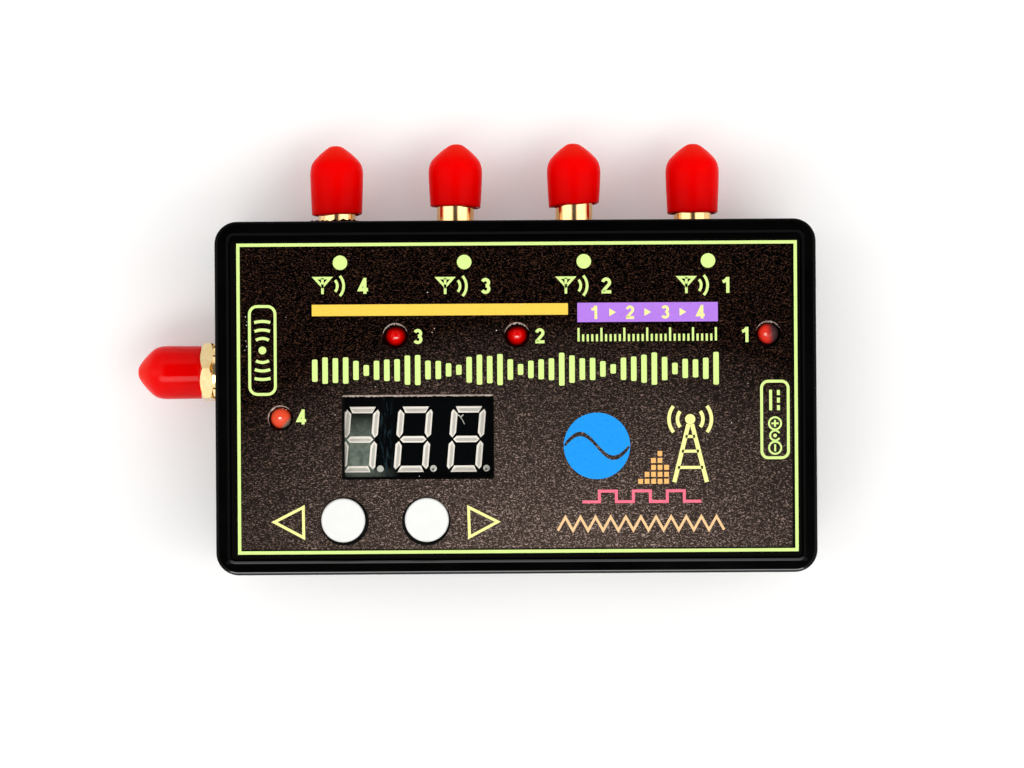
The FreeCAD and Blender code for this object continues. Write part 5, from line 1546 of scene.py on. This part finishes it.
def makeLampLips():
    mesh = bmesh.new()
    for lamp, (width, first, last, seed) in lampLips.items():
        x, y = lampLooks[lamp]["middle"]
        pick = random.Random(seed)
        rows = []
        for step in range(tornEdge["lampSteps"] + 1):
            share = step / tornEdge["lampSteps"]
            turn = math.radians(first + (last - first) * share)
            east, north = math.cos(turn), math.sin(turn)
            reach = width * math.sin(math.pi * share) ** 0.6 * pick.uniform(0.3, 1.0)
            radius = lampHole - max(tornEdge["narrowest"], reach)
            top = labelTop - tornEdge["lampSag"] - pick.uniform(0, tornEdge["sag"])
            rows.append(addPoints(mesh, [
                (x + lampHole * east, y + lampHole * north, labelTop - tornEdge["top"]),
                (x + radius * east, y + radius * north, top - tornEdge["lampEdge"]),
                (x + lampHole * east, y + lampHole * north, top - tornEdge["foot"])]))
        joinRows(mesh, rows)
    finishPiece("lamp_hole_lips", mesh, "tornFilmAndLitWall", caseBody)


window = {"west": -24.65, "east": -3.15, "north": 0.375, "lip": 0.3, "under": 0.01, "seed": 21}


def makeWindowLip():
    mesh = bmesh.new()
    pick = random.Random(window["seed"])
    rows = []
    for step in range(tornEdge["windowSteps"] + 1):
        x = window["west"] + (window["east"] - window["west"]) * step / tornEdge["windowSteps"]
        reach = window["lip"] * pick.uniform(0.55, 1.0)
        edge = labelTop - tornEdge["windowEdge"] - pick.uniform(0, tornEdge["sag"])
        north = window["north"]
        rows.append(addPoints(mesh, [
            (x, north + window["under"], labelTop - tornEdge["top"]), (x, north - reach, edge),
            (x, north + window["under"], labelTop - tornEdge["foot"])]))
    joinRows(mesh, rows)
    finishPiece("window_lip", mesh, "tornFilmAndLitWall", caseBody)


makeLampLips()
makeWindowLip()
print("torn film is made")


# display: bars with mitred ends, each a low dome with a painted shade in its middle, in place of the plain ones

digits = {
    "top": boxOf("display_housing")[1].z,
    "firstX": -22.18, "y": -5.95, "pitch": 7.55, "count": 3,
    "width": 4.93, "height": 9.33, "bar": 0.92, "corner": 0.58, "gap": 0.22, "slant": 0.088,
    "rim": 0.13, "depth": 0.3,
    "edge": 0.03,                 # how far under the top a bar's side ends
    "core": (1.9, 0.05, 0.004),   # inset of the painted shade in the middle, in rims, its shift and its lift
    "point": (2.85, -4.165),      # from the middle of its digit
    "pointDome": ((0.5, 0.0), (0.5, 0.26), (0.42, 0.3), (0.3, 0.33), (0.14, 0.345)),
    "darkReflection": (-0.05, -0.12, 0.21, 0.19, 0.05),  # the painted dark reflection: off the point's middle, half its sizes and its lift
}


def barOutlines():
    # the middle bar, then the others in pairs
    bar, gap, corner = digits["bar"], digits["gap"], digits["corner"]
    right, top, nose = digits["width"] / 2, digits["height"] / 2, digits["bar"] / 2
    end = right - corner
    outlines = [[(-end, 0), (nose - end, -nose), (end - nose, -nose), (end, 0), (end - nose, nose),
                 (nose - end, nose)]]
    level = [(-end, top), (end, top), (end - nose, top - bar), (nose - end, top - bar)]
    upright = [(right, top - corner - gap), (right - corner / 2, top - (corner + gap) / 2),
               (right - bar, top - bar - gap / 2), (right - bar, bar), (right - nose, gap),
               (right, nose + gap)]
    for north in (-1, 1):
        outlines.append([(x, y * north) for x, y in level])
        for east in (-1, 1):
            outlines.append([(x * east, y * north) for x, y in upright])
    return outlines


def shrunk(outline, inset, shift=(0.0, 0.0)):
    middle = middleOf(outline)
    spots = []
    for point in outline:
        offset = Vector(point) - middle
        smaller = [part * max(0.0, 1 - inset / max(abs(part), inset)) for part in offset]
        spots.append(middle + Vector(smaller) + Vector(shift))
    return spots


def addBars(bars, barShades, x, y):
    top, rim = digits["top"], digits["rim"]
    inset, shift, lift = digits["core"]

    def leaned(spots, height):
        return [(x + px + py * digits["slant"], y + py, height) for px, py in spots]

    for outline in barOutlines():
        rings = [addPoints(bars, leaned(spots, height)) for spots, height in (
            (outline, top - digits["depth"]), (outline, top - digits["edge"]), (shrunk(outline, rim / 3), top))]
        for first, second in zip(rings, rings[1:]):
            joinRings(bars, first, second)
        bars.faces.new(rings[0])
        bars.faces.new(rings[-1])
        # a flat darker patch over each bar's middle, shifted east and south: painted shade
        core = shrunk(outline, rim * inset, (shift, -shift))
        barShades.faces.new(addPoints(barShades, leaned(core, top + lift)))


def addPoint(points, x, y):
    rings = turnProfile(points, Matrix.Translation((x, y, digits["top"] - digits["depth"])),
                        digits["pointDome"], evenTurns(24))
    points.faces.new(rings[0])
    points.faces.new(rings[-1])


# a dark disc on the point's dome, off its middle: a painted dark reflection
def addPointReflection(pointReflections, x, y):
    east, north, wide, tall, lift = digits["darkReflection"]
    pointReflections.faces.new(addPoints(pointReflections, [
        (x + east + wide * math.cos(turn), y + north + tall * math.sin(turn), digits["top"] + lift)
        for turn in evenTurns(16)]))


def makeDisplayBars():
    bars, barShades, points, pointReflections = bmesh.new(), bmesh.new(), bmesh.new(), bmesh.new()
    east, north = digits["point"]
    for index in range(digits["count"]):
        x, y = digits["firstX"] + digits["pitch"] * index, digits["y"]
        addBars(bars, barShades, x, y)
        addPoint(points, x + east, y + north)
        if index:
            addPointReflection(pointReflections, x + east, y + north)
    smoothBelow(points, 50)
    piece = finishPiece("display_bars", bars, "displayBar", caseBody)
    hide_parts("display_segments")
    finishPiece("display_bar_shades", barShades, "displayBarShade", caseBody, flat=True)
    finishPiece("display_points", points, "displayPoint", caseBody)
    finishPiece("display_point_reflections", pointReflections, "displayPointReflection", caseBody, flat=True)


scuff = {
    # pale lines on the third digit's black middle
    "lines": (((-8.41, -2.43), (-7.95, -2.72), (-7.78, -3.02), (-7.52, -3.42), (-7.34, -3.86)),
              ((-7.88, -2.86), (-7.5, -2.48))),
    "half": (0.04, 0.08),         # of their widths
    "lift": 0.003,
    "seed": 2,
}


def makeDisplayScuff():
    mesh = bmesh.new()
    height = digits["top"] + scuff["lift"]
    pick = random.Random(scuff["seed"])
    for line in scuff["lines"]:
        for start, end in zip(line, line[1:]):
            start, end = Vector(start), Vector(end)
            side = (end - start).orthogonal().normalized() * pick.uniform(*scuff["half"])
            corners = (start - side, end - side, end + side, start + side)
            mesh.faces.new(addPoints(mesh, [(spot.x, spot.y, height) for spot in corners]))
    finishPiece("display_scuff", mesh, "displayPoint", caseBody, flat=True)


# the film's holes for the buttons were punched off the middle: film on one side, bare panel on the other, and a black
# sheet over the gap round each cap as a painted shadow

buttonHoles = {
    # button: offset of the punched hole from the button's middle
    "left_button_cap": (0.19, -0.17),
    "right_button_cap": (-0.1, -0.2),
}
buttonHole = {
    "moulded": 3.4, "punched": 3.42, "cap": 3.13,  # radii
    "filmOver": 0.02,             # the film reaches that far over the moulded edge
    "narrowest": 0.01,
    "filmLift": 0.002, "bareAndShadeLift": 0.004,
    "steps": 72,
}


def addCrescent(mesh, middle, nearAt, farAt, height):
    turns = evenTurns(buttonHole["steps"])
    near, far = [addPoints(mesh, [(middle.x + reachAt(turn) * math.cos(turn),
                                   middle.y + reachAt(turn) * math.sin(turn), height) for turn in turns])
                 for reachAt in (nearAt, farAt)]
    joinRings(mesh, far, near)


def makeButtonHoles():
    film, bareAndShade = bmesh.new(), bmesh.new()
    rim, cap = buttonHole["moulded"], buttonHole["cap"]
    for name, (east, north) in buttonHoles.items():
        low, high = boxOf(name)
        middle = (low + high) / 2

        def punched(turn):
            return buttonHole["punched"] + east * math.cos(turn) + north * math.sin(turn)

        addCrescent(film, middle, lambda turn: min(rim, punched(turn)),
                    lambda turn: rim + buttonHole["filmOver"], labelTop + buttonHole["filmLift"])
        # black crescent from the cap out to the punched edge: bare black panel, and over the gap between cap and hole
        # a painted shadow
        addCrescent(bareAndShade, middle, lambda turn: cap, lambda turn: max(cap + buttonHole["narrowest"], punched(turn)),
                    labelTop + buttonHole["bareAndShadeLift"])
    finishPiece("button_film", film, "labelFilm", caseBody, flat=True)
    finishPiece("button_bare_panel_and_gap_shade", bareAndShade, "blackPanelAndGapShade", caseBody, flat=True)


# flash left by the mould along the top of the north wall, and bumps on the west one

flash = {
    # name: (from, to) along the wall, how far it stands off, height, seed
    "north": ((-29.3, -21.6), 0.45, 20.0, 7),
    "west": ((13.8, 18.9), 0.16, 19.2, 9),
}
flashShape = {"steps": 26, "inside": -0.3, "levels": (-0.35, -0.2, 0.0, 0.12)}  # from the height


def makeFlash():
    mesh = bmesh.new()
    low, high = boxOf("top_cover")
    steps, inside = flashShape["steps"], flashShape["inside"]
    for name, ((start, end), reach, height, seed) in flash.items():
        pick = random.Random(seed)
        rows = []
        for step in range(steps + 1):
            share = step / steps
            along = start + (end - start) * share
            off = reach * math.sin(math.pi * share) ** 0.4 * pick.uniform(0.15, 1.0)
            spots = [(out, height + level) for out, level in zip((inside, off, off, inside), flashShape["levels"])]
            rows.append(addPoints(mesh, [
                (along, high.y + out, level) if name == "north" else (low.x - out, along, level)
                for out, level in spots]))
        joinRows(mesh, rows)
    finishPiece("mould_flash", mesh, "casePlastic", caseBody)


lint = {
    # fields of pale specks on the film: west, south, east, north, how many
    "fields": ((-38.3, 6.2, -37.5, 12.0, 9), (-33.0, -1.6, -31.5, -0.4, 2), (-12.0, 9.0, -11.0, 10.0, 2),
               (20.0, -20.0, 38.0, 20.0, 7), (-37.0, -20.0, 5.0, 20.0, 9)),
    "size": (0.05, 0.11),
    "corners": 6,
    "lift": 0.026,                # over the film and its printing
    "seed": 31,
}


def makeLint():
    mesh = bmesh.new()
    pick = random.Random(lint["seed"])
    for west, south, east, north, count in lint["fields"]:
        for _ in range(count):
            x, y, size = pick.uniform(west, east), pick.uniform(south, north), pick.uniform(*lint["size"])
            turn = pick.uniform(0, math.pi)
            ring = []
            for angle in evenTurns(lint["corners"]):
                reach = size * pick.uniform(0.5, 1.0)
                ring.append((x + reach * math.cos(turn + angle), y + reach * math.sin(turn + angle),
                             labelTop + lint["lift"]))
            mesh.faces.new(addPoints(mesh, ring))
    finishPiece("lint", mesh, "displayBar", caseBody, flat=True)


makeButtonHoles()
makeFlash()
makeLint()
makeDisplayBars()
makeDisplayScuff()
print("display bars, button holes, flash and lint are made")


print("all pieces are in place")
